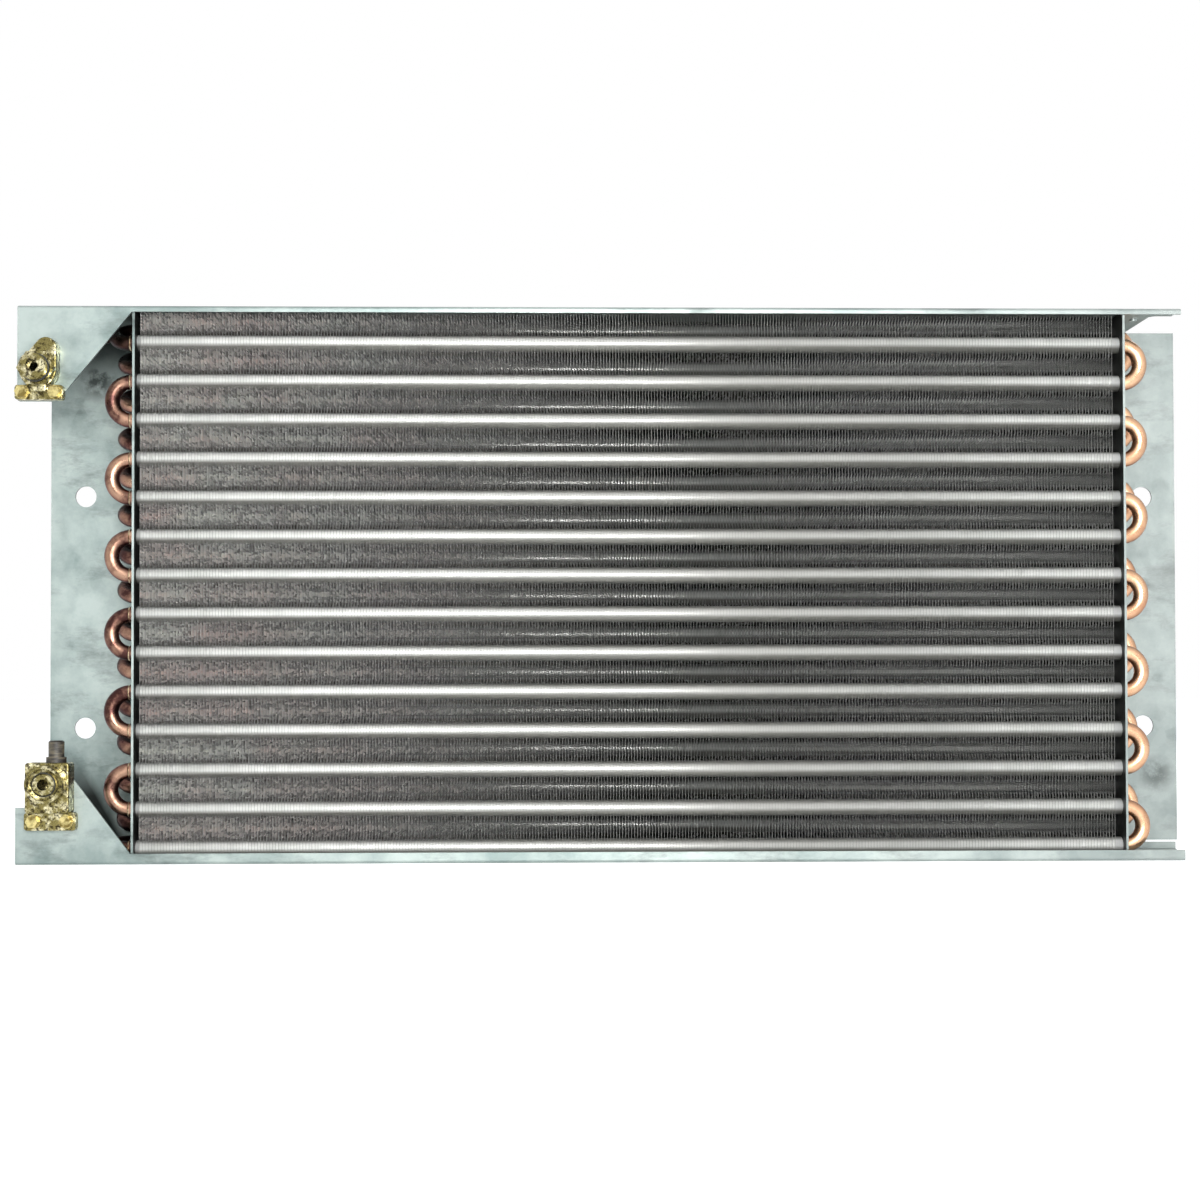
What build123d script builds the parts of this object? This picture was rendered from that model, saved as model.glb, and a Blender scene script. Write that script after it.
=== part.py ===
from build123d import *
import os
from math import atan2, degrees, hypot

# A fin-and-tube condenser coil: copper hairpin tubes through an aluminium fin pack,
# two tube sheets with mounting flanges, two casing rails with corner gussets,
# and two brass line fittings on the gussets at the left.
# X runs along the tubes, Y from the front face to the back, Z up.
# The origin is under the middle of the bottom rail.

# Copper tubes
TUBE_OD = 9.525
TUBE_WALL = 0.6
TUBE_PITCH = 25.4
TUBES_HIGH = 14
ROW_PITCH = 22.0
ROWS = 3
BELL_LENGTH = 3.0
BELL_SHOULDER = 0.8
BELL_WALL = 0.5
FEED_OD = 8.0
FEED_WALL = 0.6
HAIRPIN_STANDOFF = 0.5

# Fin pack
COIL_WIDTH = 648.0
FIN_END_GAP = 2.5
FIN_GAP_COUNT = 100
FIN_GAP_WIDTH = 2.8
FIN_GAP_DEPTH = 5.0

# Tube sheets
SHEET_THICKNESS = 1.5
SHEET_BEND_RADIUS = 2.5
LEFT_FLANGE_REACH = 71.7
RIGHT_FLANGE_REACH = 56.3
LEFT_HOLE_REACH = 48.0
RIGHT_HOLE_REACH = 33.2
FLANGE_HOLE_DIAMETER = 14.3
FLANGE_HOLE_SPACING = 158.75
LOW_FLANGE_HOLE_HEIGHT = 86.4
FLANGE_TOP_RELIEF = 0.5
FLANGE_BOTTOM_RELIEF = 6.0
TAB_REACH = 20.0
TAB_WIDTH = 57.0
TAB_FRONT_RELIEF = 1.0

# Casing rails
RAIL_THICKNESS = 1.5
RAIL_BEND_RADIUS = 2.0
RAIL_FIN_GAP = 1.5
LIP_CLEARANCE = 0.3
TOP_LIP_HEIGHT = 4.0
BOTTOM_LIP_HEIGHT = 7.0
REAR_LIP_HEIGHT = 6.0
RAIL_LEFT_REACH = 73.5
RAIL_RIGHT_REACH = 36.6
TOP_STRIP_DEPTH = 17.0
TOP_NOTCH_REACH = 22.0
TOP_NOTCH_RADIUS = 5.0
TOP_GUSSET_HEIGHT = 62.4
TOP_DIAGONAL_REACH = 47.8
BOTTOM_GUSSET_HEIGHT = 62.0
BOTTOM_DIAGONAL_REACH = 41.5
BOTTOM_STEP_HEIGHT = 36.8
BOTTOM_STEP_REACH = 63.5
GUSSET_CORNER_RADIUS = 2.0

# Rivets that hold the rails to the tube sheets
RIVET_DIAMETER = 3.2
RIVET_HEAD_DIAMETER = 5.8
RIVET_HEAD_DEPTH = 1.2
RIVET_TAIL_DIAMETER = 4.8
RIVET_TAIL_LENGTH = 1.2
RIVET_SPACING = 30.0
RIVET_REACH = 12.0

# Line fittings
PORT_REACH = 20.2
SPIGOT_DIAMETER = 15.0
SPIGOT_LENGTH = 8.8
SPIGOT_CLEARANCE = 0.3
SOCKET_DEPTH = 7.0
FOOT_THICKNESS = 5.0
FOOT_CORNER_RADIUS = 2.0
BODY_EDGE_RADIUS = 1.0

INLET_X_REACH = 58.0
INLET_RISE = 19.4
INLET_NOSE_DIAMETER = 17.3
INLET_BORE_DIAMETER = 6.4
INLET_MOUTH_DIAMETER = 7.8
INLET_MOUTH_DEPTH = 6.0
INLET_HEX_WIDTH = 21.0
INLET_HEX_LENGTH = 4.5
INLET_BARREL_DIAMETER = 24.0
INLET_BARREL_LENGTH = 8.0
INLET_LUG_DIAMETER = 14.0
INLET_LUG_SHIFT = 5.0
INLET_LUG_RISE = 13.8
INLET_NECK_WIDTH = 11.0
INLET_FOOT_WIDTH = 31.0
INLET_FOOT_HEIGHT = 9.5
INLET_FOOT_DROP = 14.4

OUTLET_X_REACH = 49.8
OUTLET_HEIGHT = 52.6
OUTLET_BLOCK_WIDTH = 28.0
OUTLET_BLOCK_RISE = 13.6
OUTLET_BLOCK_DROP = 18.8
OUTLET_BLOCK_DEPTH = 12.0
OUTLET_SLEEVE_DIAMETER = 14.4
OUTLET_BORE_DIAMETER = 7.2
OUTLET_FOOT_WIDTH = 33.0
OUTLET_FOOT_HEIGHT = 11.5
OUTLET_FOOT_DROP = 24.3
COLLAR_DIAMETER = 24.0
COLLAR_BORE_DIAMETER = 20.4
COLLAR_LENGTH = 8.2
COLLAR_FLOOR = 2.5
COLLAR_CLEARANCE = 0.2
SNAP_RING_THICKNESS = 0.8
SNAP_RING_DEPTH = 0.7
SNAP_RING_OPENING = 4.0
NOSE_CHAMFER = 0.8
CHECK_VALVE_START = 0.5
CHECK_VALVE_LENGTH = 4.0
CHECK_PORT_DIAMETER = 1.6
CHECK_PORT_CIRCLE = 4.4

# Charge port on the outlet block
CHARGE_OFFSET = 4.4
CHARGE_STEM_DIAMETER = 7.8
CHARGE_STEM_HEIGHT = 12.0
CHARGE_STEM_SINK = 6.0
CHARGE_BORE_DIAMETER = 4.6
CHARGE_PASSAGE_DIAMETER = 2.5
CAP_DIAMETER = 9.8
CAP_SKIRT_DIAMETER = 12.6
CAP_SKIRT_HEIGHT = 3.5
CAP_TOP_WALL = 2.0
VALVE_PIN_DIAMETER = 1.8
VALVE_PIN_DROP = 1.0

# Seals, screws and nuts
O_RING_SECTION = 1.8
O_RING_GROOVE_WIDTH = 2.0
O_RING_GROOVE_DEPTH = 1.2
O_RING_CLEARANCE = 0.05
SCREW_DIAMETER = 4.0
SCREW_HEAD_WIDTH = 7.0
SCREW_HEAD_HEIGHT = 3.2
SCREW_WASHER_DIAMETER = 9.0
SCREW_WASHER_THICKNESS = 1.0
SCREW_SPACING = 21.0
SCREW_CLEARANCE = 0.25
SCREW_TAIL = 1.5
NUT_WIDTH = 7.0
NUT_HEIGHT = 3.2

# Feed tubes behind the gussets
INLET_FEED_RADIUS = 10.0
OUTLET_FEED_RADIUS = 12.0

# Worked out from the sizes above
tube_r = TUBE_OD / 2
tube_bore_r = tube_r - TUBE_WALL
fin_bottom = RAIL_THICKNESS + RAIL_FIN_GAP
fin_height = TUBES_HIGH * TUBE_PITCH
fin_top = fin_bottom + fin_height
web_under = fin_top + RAIL_FIN_GAP
total_height = web_under + RAIL_THICKNESS
coil_depth = ROWS * ROW_PITCH
sheet_x = COIL_WIDTH / 2
fin_length = COIL_WIDTH - 2 * (SHEET_THICKNESS + FIN_END_GAP)
lip_y = coil_depth / 2 + LIP_CLEARANCE
rail_y = lip_y + RAIL_THICKNESS
rail_left = -sheet_x - RAIL_LEFT_REACH
rail_right = sheet_x + RAIL_RIGHT_REACH
rivet_x = sheet_x + RIVET_REACH
bell_x = sheet_x + BELL_LENGTH
bell_socket = BELL_LENGTH - BELL_SHOULDER
tube_end_x = sheet_x + BELL_SHOULDER
feed_r = FEED_OD / 2
feed_bore_r = feed_r - FEED_WALL
hairpin_x = sheet_x + HAIRPIN_STANDOFF
inlet_x = -sheet_x - INLET_X_REACH
inlet_z = total_height - TOP_GUSSET_HEIGHT + INLET_RISE
outlet_x = -sheet_x - OUTLET_X_REACH
snap_ring_start = OUTLET_BLOCK_DEPTH + COLLAR_FLOOR
outlet_seal_start = PORT_REACH - NOSE_CHAMFER - O_RING_GROOVE_WIDTH
spigot_rear_y = -rail_y + SPIGOT_LENGTH
feed_end_y = spigot_rear_y - SOCKET_DEPTH


def row_y(row):
    """Middle of a row of tubes, counted from 1 at the front."""
    return (row - (ROWS + 1) / 2) * ROW_PITCH


def tube_z(row, tube):
    """Height of a tube, counted from 1 at the top; even rows sit half a pitch higher."""
    stagger = 0.75 if row % 2 == 0 else 0.25
    return fin_bottom + (TUBES_HIGH - tube + stagger) * TUBE_PITCH


def tube_places(row):
    """Points of one row of tubes on the Y-Z plane."""
    return [(row_y(row), tube_z(row, tube)) for tube in range(1, TUBES_HIGH + 1)]


all_tubes = [place for row in range(1, ROWS + 1) for place in tube_places(row)]


def return_bend(radius, hollow=True):
    """A half-turn of tube in the X-Z plane that opens towards +X, centred on the origin."""
    with BuildPart() as bend:
        with BuildLine() as middle:
            lower = Line((bell_socket, 0, -radius), (0, 0, -radius))
            turn = ThreePointArc(lower @ 1, (-radius, 0, 0), (0, 0, radius))
            Line(turn @ 1, (bell_socket, 0, radius))
        with BuildSketch(Plane(origin=lower @ 0, z_dir=(-1, 0, 0))):
            Circle(tube_r)
            if hollow:
                Circle(tube_bore_r, mode=Mode.SUBTRACT)
        sweep(path=middle.wire())
    return bend.part


def hairpin_tubes(row):
    """Hairpins of one row: each joins two neighbouring tubes at the right end."""
    half_pitch = TUBE_PITCH / 2
    with BuildPart() as hairpin:
        with BuildLine() as middle:
            lower = Line((-tube_end_x, 0, -half_pitch), (hairpin_x, 0, -half_pitch))
            turn = ThreePointArc(lower @ 1, (hairpin_x + half_pitch, 0, 0), (hairpin_x, 0, half_pitch))
            Line(turn @ 1, (-tube_end_x, 0, half_pitch))
        with BuildSketch(Plane(origin=lower @ 0, z_dir=(1, 0, 0))):
            Circle(tube_r)
            Circle(tube_bore_r, mode=Mode.SUBTRACT)
        sweep(path=middle.wire())
        # The left ends are belled to take the return bends
        with BuildSketch(Plane.YZ.offset(-bell_x)):
            with GridLocations(0, TUBE_PITCH, 1, 2):
                Circle(tube_r + BELL_WALL)
                Circle(tube_bore_r, mode=Mode.SUBTRACT)
        extrude(amount=BELL_LENGTH)
        with BuildSketch(Plane.YZ.offset(-bell_x)):
            with GridLocations(0, TUBE_PITCH, 1, 2):
                Circle(tube_r)
        extrude(amount=bell_socket, mode=Mode.SUBTRACT)
    with BuildPart() as group:
        for tube in range(1, TUBES_HIGH, 2):
            with Locations((0, row_y(row), tube_z(row, tube) - half_pitch)):
                add(hairpin.part)
    return group


hairpin_tubes_front = hairpin_tubes(1)
hairpin_tubes_front.part.label = "hairpin_tubes_front"
hairpin_tubes_middle = hairpin_tubes(2)
hairpin_tubes_middle.part.label = "hairpin_tubes_middle"
hairpin_tubes_rear = hairpin_tubes(3)
hairpin_tubes_rear.part.label = "hairpin_tubes_rear"

# The front row is one circuit, joined by upright return bends
upright_bend = return_bend(TUBE_PITCH / 2)
with BuildPart() as front_return_bends:
    for tube in range(2, TUBES_HIGH, 2):
        with Locations((-bell_x, row_y(1), tube_z(1, tube) - TUBE_PITCH / 2)):
            add(upright_bend)
front_return_bends.part.label = "front_return_bends"

# The middle and rear rows are the other circuit, joined by slanting return bends
slant_span = hypot(ROW_PITCH, TUBE_PITCH / 2)
slant_angle = -degrees(atan2(ROW_PITCH, TUBE_PITCH / 2))
slant_bend = return_bend(slant_span / 2)
with BuildPart() as diagonal_return_bends:
    for tube in range(2, TUBES_HIGH + 1):
        slant_place = (-bell_x, (row_y(2) + row_y(3)) / 2, tube_z(2, tube) + TUBE_PITCH / 4)
        with Locations(Location(slant_place, (slant_angle, 0, 0))):
            add(slant_bend)
diagonal_return_bends.part.label = "diagonal_return_bends"

# Fin pack: one block with the outer edges of the fins as slots, and a collared bore for each tube
fin_gap_pitch = fin_length / (FIN_GAP_COUNT + 1)
with BuildPart() as fin_pack:
    with BuildSketch(Plane.XY.offset(fin_bottom)):
        Rectangle(fin_length, coil_depth)
        with GridLocations(fin_gap_pitch, coil_depth, FIN_GAP_COUNT, 2):
            Rectangle(FIN_GAP_WIDTH, 2 * FIN_GAP_DEPTH, mode=Mode.SUBTRACT)
    extrude(amount=fin_height)
    with BuildSketch(Plane.YZ.offset(-fin_length / 2)):
        with Locations(*all_tubes):
            Circle(tube_r)
    extrude(amount=fin_length, mode=Mode.SUBTRACT)
fin_pack.part.label = "fin_pack"


def rail_rivets(outer_z, outward):
    """The four flush rivets of one rail; outward is 1 for the top rail and -1 for the bottom one."""
    grip = RAIL_THICKNESS + SHEET_THICKNESS
    with BuildPart() as rivet:
        with BuildSketch(Plane.XZ):
            with BuildLine():
                Polyline(
                    (0, 0),
                    (RIVET_HEAD_DIAMETER / 2, 0),
                    (RIVET_DIAMETER / 2, -RIVET_HEAD_DEPTH),
                    (RIVET_DIAMETER / 2, -grip),
                    (RIVET_TAIL_DIAMETER / 2, -grip),
                    (RIVET_TAIL_DIAMETER / 2, -grip - RIVET_TAIL_LENGTH),
                    (0, -grip - RIVET_TAIL_LENGTH),
                    close=True,
                )
            make_face()
        revolve(axis=Axis.Z)
    turn = 0 if outward > 0 else 180
    with BuildPart() as group:
        for x in (-rivet_x, rivet_x):
            for y in (-RIVET_SPACING / 2, RIVET_SPACING / 2):
                with Locations(Location((x, y, outer_z), (turn, 0, 0))):
                    add(rivet.part)
    return group


top_rail_rivets = rail_rivets(total_height, 1)
top_rail_rivets.part.label = "top_rail_rivets"
bottom_rail_rivets = rail_rivets(0, -1)
bottom_rail_rivets.part.label = "bottom_rail_rivets"


def tube_sheet(side, flange_reach, hole_reach):
    """A tube plate with a mounting flange turned outwards at the back and a tab at each end.

    side is -1 for the left sheet and 1 for the right one.
    """
    face = side * sheet_x
    rear = coil_depth / 2
    flange_end = face + side * flange_reach
    web_side = Side.LEFT if side < 0 else Side.RIGHT
    tab_end = face + side * TAB_REACH
    tab_bottom = RAIL_THICKNESS
    flange_bottom = tab_bottom + FLANGE_BOTTOM_RELIEF
    with BuildPart() as sheet:
        with BuildSketch(Plane.XY.offset(flange_bottom)):
            with BuildLine():
                outline = FilletPolyline(
                    (face - side * SHEET_THICKNESS, -rear),
                    (face - side * SHEET_THICKNESS, rear),
                    (flange_end, rear),
                    radius=SHEET_BEND_RADIUS,
                )
                offset(outline, amount=SHEET_THICKNESS, side=web_side)
            make_face()
        extrude(amount=web_under - FLANGE_TOP_RELIEF - flange_bottom)
        # The plate reaches past the flange at both ends and turns over into the tabs
        with BuildSketch(Plane.XZ.offset(rear - TAB_FRONT_RELIEF)):
            with BuildLine():
                outline = FilletPolyline(
                    (tab_end, tab_bottom),
                    (face - side * SHEET_THICKNESS, tab_bottom),
                    (face - side * SHEET_THICKNESS, web_under),
                    (tab_end, web_under),
                    radius=SHEET_BEND_RADIUS,
                )
                offset(outline, amount=SHEET_THICKNESS, side=web_side)
            make_face()
        extrude(amount=-TAB_WIDTH)
        with BuildSketch(Plane.YZ.offset(face - side * SHEET_THICKNESS)):
            with Locations(*all_tubes):
                Circle(tube_r)
        extrude(amount=side * SHEET_THICKNESS, mode=Mode.SUBTRACT)
        hole_x = face + side * hole_reach
        with BuildSketch(Plane.XZ.offset(-rear)):
            for hole_z in (LOW_FLANGE_HOLE_HEIGHT, LOW_FLANGE_HOLE_HEIGHT + FLANGE_HOLE_SPACING):
                with Locations((hole_x, hole_z)):
                    Circle(FLANGE_HOLE_DIAMETER / 2)
        extrude(amount=SHEET_THICKNESS, mode=Mode.SUBTRACT)
        add(top_rail_rivets.part, mode=Mode.SUBTRACT)
        add(bottom_rail_rivets.part, mode=Mode.SUBTRACT)
    return sheet


left_tube_sheet = tube_sheet(-1, LEFT_FLANGE_REACH, LEFT_HOLE_REACH)
left_tube_sheet.part.label = "left_tube_sheet"
right_tube_sheet = tube_sheet(1, RIGHT_FLANGE_REACH, RIGHT_HOLE_REACH)
right_tube_sheet.part.label = "right_tube_sheet"

# Planes that the fittings are built on: the outer face of the gussets, and the inlet and outlet in it
gusset_front = Plane.XZ.offset(rail_y)
inlet_port = (inlet_x, inlet_z)
outlet_port = (outlet_x, OUTLET_HEIGHT)
inlet_foot = (inlet_x, inlet_z - INLET_FOOT_DROP)
outlet_foot = (outlet_x, OUTLET_HEIGHT - OUTLET_FOOT_DROP)


def gusset_holes(port, foot):
    """The holes of one fitting through a gusset: one for its spigot and two for its screws."""
    with BuildPart() as holes:
        with BuildSketch(gusset_front):
            with Locations(port):
                Circle(SPIGOT_DIAMETER / 2 + SPIGOT_CLEARANCE)
            with Locations(foot):
                with GridLocations(SCREW_SPACING, 0, 2, 1):
                    Circle(SCREW_DIAMETER / 2 + SCREW_CLEARANCE)
        extrude(amount=-RAIL_THICKNESS)
    return holes.part


inlet_gusset_holes = gusset_holes(inlet_port, inlet_foot)
outlet_gusset_holes = gusset_holes(outlet_port, outlet_foot)


# Top rail: a channel whose front leg is cut back to a lip, except for the gusset at the left
with BuildPart() as top_rail:
    with BuildSketch(Plane.YZ.offset(rail_left)):
        with BuildLine():
            channel = FilletPolyline(
                (-rail_y, total_height - TOP_GUSSET_HEIGHT),
                (-rail_y, total_height),
                (rail_y, total_height),
                (rail_y, total_height - REAR_LIP_HEIGHT),
                radius=RAIL_BEND_RADIUS,
            )
            offset(channel, amount=RAIL_THICKNESS, side=Side.RIGHT)
        make_face()
    extrude(amount=rail_right - rail_left)
    with BuildSketch(gusset_front):
        with BuildLine():
            Polyline(
                (-sheet_x, total_height - TOP_LIP_HEIGHT),
                (rail_right, total_height - TOP_LIP_HEIGHT),
                (rail_right, total_height - TOP_GUSSET_HEIGHT),
                (-sheet_x - TOP_DIAGONAL_REACH, total_height - TOP_GUSSET_HEIGHT),
                close=True,
            )
        make_face()
    extrude(amount=-RAIL_THICKNESS, mode=Mode.SUBTRACT)
    fillet(top_rail.edges().filter_by(Axis.Y).group_by(Axis.Z)[0], GUSSET_CORNER_RADIUS)
    # Beyond the right tube sheet only a strip at the front is left
    with BuildSketch(Plane.XY.offset(total_height - REAR_LIP_HEIGHT)):
        with Locations((sheet_x + TOP_NOTCH_REACH, TOP_STRIP_DEPTH - rail_y)):
            Rectangle(RAIL_RIGHT_REACH, 2 * rail_y, align=(Align.MIN, Align.MIN))
        notch_corner = vertices().group_by(Axis.X)[0].sort_by(Axis.Y)[0]
        fillet(notch_corner, TOP_NOTCH_RADIUS)
    extrude(amount=REAR_LIP_HEIGHT, mode=Mode.SUBTRACT)
    add(inlet_gusset_holes, mode=Mode.SUBTRACT)
    add(top_rail_rivets.part, mode=Mode.SUBTRACT)
top_rail.part.label = "top_rail"

# Bottom rail: the same channel the other way up, with a stepped gusset and a slanted right end
bottom_rear_right = sheet_x + RIGHT_FLANGE_REACH
with BuildPart() as bottom_rail:
    with BuildSketch(Plane.YZ.offset(rail_left)):
        with BuildLine():
            channel = FilletPolyline(
                (-rail_y, BOTTOM_GUSSET_HEIGHT),
                (-rail_y, 0),
                (rail_y, 0),
                (rail_y, REAR_LIP_HEIGHT),
                radius=RAIL_BEND_RADIUS,
            )
            offset(channel, amount=RAIL_THICKNESS, side=Side.LEFT)
        make_face()
    extrude(amount=bottom_rear_right - rail_left)
    with BuildSketch(gusset_front):
        with BuildLine():
            Polyline(
                (-sheet_x, BOTTOM_LIP_HEIGHT),
                (bottom_rear_right, BOTTOM_LIP_HEIGHT),
                (bottom_rear_right, BOTTOM_GUSSET_HEIGHT),
                (-sheet_x - BOTTOM_DIAGONAL_REACH, BOTTOM_GUSSET_HEIGHT),
                close=True,
            )
        make_face()
        with Locations((rail_left, BOTTOM_STEP_HEIGHT)):
            Rectangle(
                RAIL_LEFT_REACH - BOTTOM_STEP_REACH,
                BOTTOM_GUSSET_HEIGHT - BOTTOM_STEP_HEIGHT,
                align=(Align.MIN, Align.MIN),
            )
    extrude(amount=-RAIL_THICKNESS, mode=Mode.SUBTRACT)
    fillet(bottom_rail.edges().filter_by(Axis.Y).group_by(Axis.Z)[-1], GUSSET_CORNER_RADIUS)
    with BuildSketch(Plane.XY):
        with BuildLine():
            Polyline(
                (rail_right, -rail_y),
                (bottom_rear_right, rail_y),
                (bottom_rear_right, -rail_y),
                close=True,
            )
        make_face()
    extrude(amount=BOTTOM_LIP_HEIGHT, mode=Mode.SUBTRACT)
    add(outlet_gusset_holes, mode=Mode.SUBTRACT)
    add(bottom_rail_rivets.part, mode=Mode.SUBTRACT)
bottom_rail.part.label = "bottom_rail"


def branch_bend(radius, location):
    """A return bend with a hole in its crown, where the feed tube joins it."""
    with BuildPart() as bend:
        with Locations(location):
            add(return_bend(radius))
            with BuildSketch(Plane.YZ.offset(-radius - TUBE_OD)):
                Circle(feed_bore_r)
            extrude(amount=TUBE_OD, mode=Mode.SUBTRACT)
    return bend


def feed_tube(corners, radius, bend_radius, bend_location):
    """A tube from the crown of a branch bend to a fitting's socket, cut to fit round the bend."""
    with BuildPart() as tube:
        with BuildLine() as middle:
            FilletPolyline(*corners, radius=radius)
        with BuildSketch(Plane(origin=corners[0], z_dir=(-1, 0, 0))):
            Circle(feed_r)
            Circle(feed_bore_r, mode=Mode.SUBTRACT)
        sweep(path=middle.wire())
        with Locations(bend_location):
            add(return_bend(bend_radius, hollow=False), mode=Mode.SUBTRACT)
    return tube


# Inlet: one branch bend feeds the top tubes of the front and middle rows
inlet_bend_place = (-bell_x, (row_y(1) + row_y(2)) / 2, tube_z(1, 1) + TUBE_PITCH / 4)
inlet_bend_location = Location(inlet_bend_place, (slant_angle, 0, 0))
inlet_branch_bend = branch_bend(slant_span / 2, inlet_bend_location)
inlet_branch_bend.part.label = "inlet_branch_bend"
inlet_feed_tube = feed_tube(
    [
        (-bell_x - slant_span / 2, inlet_bend_place[1], inlet_bend_place[2]),
        (inlet_x, inlet_bend_place[1], inlet_bend_place[2]),
        (inlet_x, inlet_bend_place[1], inlet_z),
        (inlet_x, feed_end_y, inlet_z),
    ],
    INLET_FEED_RADIUS,
    slant_span / 2,
    inlet_bend_location,
)
inlet_feed_tube.part.label = "inlet_feed_tube"

# Outlet: a wide branch bend collects the bottom tubes of the front and rear rows
outlet_bend_radius = (row_y(3) - row_y(1)) / 2
outlet_bend_place = (-bell_x, row_y(2), tube_z(1, TUBES_HIGH))
outlet_bend_location = Location(outlet_bend_place, (-90, 0, 0))
outlet_branch_bend = branch_bend(outlet_bend_radius, outlet_bend_location)
outlet_branch_bend.part.label = "outlet_branch_bend"
outlet_feed_tube = feed_tube(
    [
        (-bell_x - outlet_bend_radius, outlet_bend_place[1], outlet_bend_place[2]),
        (outlet_x, outlet_bend_place[1], outlet_bend_place[2]),
        (outlet_x, outlet_bend_place[1], OUTLET_HEIGHT),
        (outlet_x, feed_end_y, OUTLET_HEIGHT),
    ],
    OUTLET_FEED_RADIUS,
    outlet_bend_radius,
    outlet_bend_location,
)
outlet_feed_tube.part.label = "outlet_feed_tube"


def foot_and_spigot(port, foot, width, height):
    """The flat foot of a fitting and the spigot that goes back through the gusset."""
    with BuildPart() as base:
        with BuildSketch(gusset_front):
            with Locations(foot):
                RectangleRounded(width, height, FOOT_CORNER_RADIUS)
        extrude(amount=FOOT_THICKNESS)
        with BuildSketch(gusset_front):
            with Locations(port):
                Circle(SPIGOT_DIAMETER / 2)
        extrude(amount=-SPIGOT_LENGTH)
    return base.part


def fitting_bores(port, foot, bore_diameter):
    """The bore through a fitting, the socket for its feed tube and its two screw holes."""
    with BuildPart() as bores:
        with BuildSketch(gusset_front.offset(-SPIGOT_LENGTH)):
            with Locations(port):
                Circle(bore_diameter / 2)
        extrude(amount=SPIGOT_LENGTH + PORT_REACH)
        with BuildSketch(gusset_front.offset(-SPIGOT_LENGTH)):
            with Locations(port):
                Circle(feed_r)
        extrude(amount=SOCKET_DEPTH)
        with BuildSketch(gusset_front):
            with Locations(foot):
                with GridLocations(SCREW_SPACING, 0, 2, 1):
                    Circle(SCREW_DIAMETER / 2 + SCREW_CLEARANCE)
        extrude(amount=FOOT_THICKNESS)
    return bores.part


inlet_base = foot_and_spigot(inlet_port, inlet_foot, INLET_FOOT_WIDTH, INLET_FOOT_HEIGHT)
inlet_bores = fitting_bores(inlet_port, inlet_foot, INLET_BORE_DIAMETER)
outlet_base = foot_and_spigot(outlet_port, outlet_foot, OUTLET_FOOT_WIDTH, OUTLET_FOOT_HEIGHT)
outlet_bores = fitting_bores(outlet_port, outlet_foot, OUTLET_BORE_DIAMETER)


# Inlet fitting: a forged body with a lug, a hexagon and a threaded nose
inlet_hex_front = INLET_BARREL_LENGTH + INLET_HEX_LENGTH
with BuildPart() as inlet_fitting_body:
    with BuildSketch(gusset_front):
        with Locations(inlet_port):
            Circle(INLET_BARREL_DIAMETER / 2)
            with Locations((INLET_LUG_SHIFT, INLET_LUG_RISE)):
                Circle(INLET_LUG_DIAMETER / 2)
            make_hull()
            Rectangle(INLET_NECK_WIDTH, INLET_FOOT_DROP, align=(Align.CENTER, Align.MAX))
    extrude(amount=INLET_BARREL_LENGTH)
    fillet(inlet_fitting_body.faces().sort_by(Axis.Y)[0].edges(), BODY_EDGE_RADIUS)
    add(inlet_base)
    with BuildSketch(gusset_front.offset(INLET_BARREL_LENGTH)):
        with Locations(inlet_port):
            RegularPolygon(INLET_HEX_WIDTH / 2, 6, major_radius=False)
    extrude(amount=INLET_HEX_LENGTH)
    with BuildSketch(gusset_front.offset(inlet_hex_front)):
        with Locations(inlet_port):
            Circle(INLET_NOSE_DIAMETER / 2)
    extrude(amount=PORT_REACH - inlet_hex_front)
    chamfer(inlet_fitting_body.faces().sort_by(Axis.Y)[0].edges(), NOSE_CHAMFER)
    with BuildSketch(gusset_front.offset(inlet_hex_front)):
        with Locations(inlet_port):
            Circle(INLET_NOSE_DIAMETER / 2)
            Circle(INLET_NOSE_DIAMETER / 2 - O_RING_GROOVE_DEPTH, mode=Mode.SUBTRACT)
    extrude(amount=O_RING_GROOVE_WIDTH, mode=Mode.SUBTRACT)
    add(inlet_bores, mode=Mode.SUBTRACT)
    with BuildSketch(gusset_front.offset(PORT_REACH - INLET_MOUTH_DEPTH)):
        with Locations(inlet_port):
            Circle(INLET_MOUTH_DIAMETER / 2)
    extrude(amount=INLET_MOUTH_DEPTH, mode=Mode.SUBTRACT)
inlet_fitting_body.part.label = "inlet_fitting_body"

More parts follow.
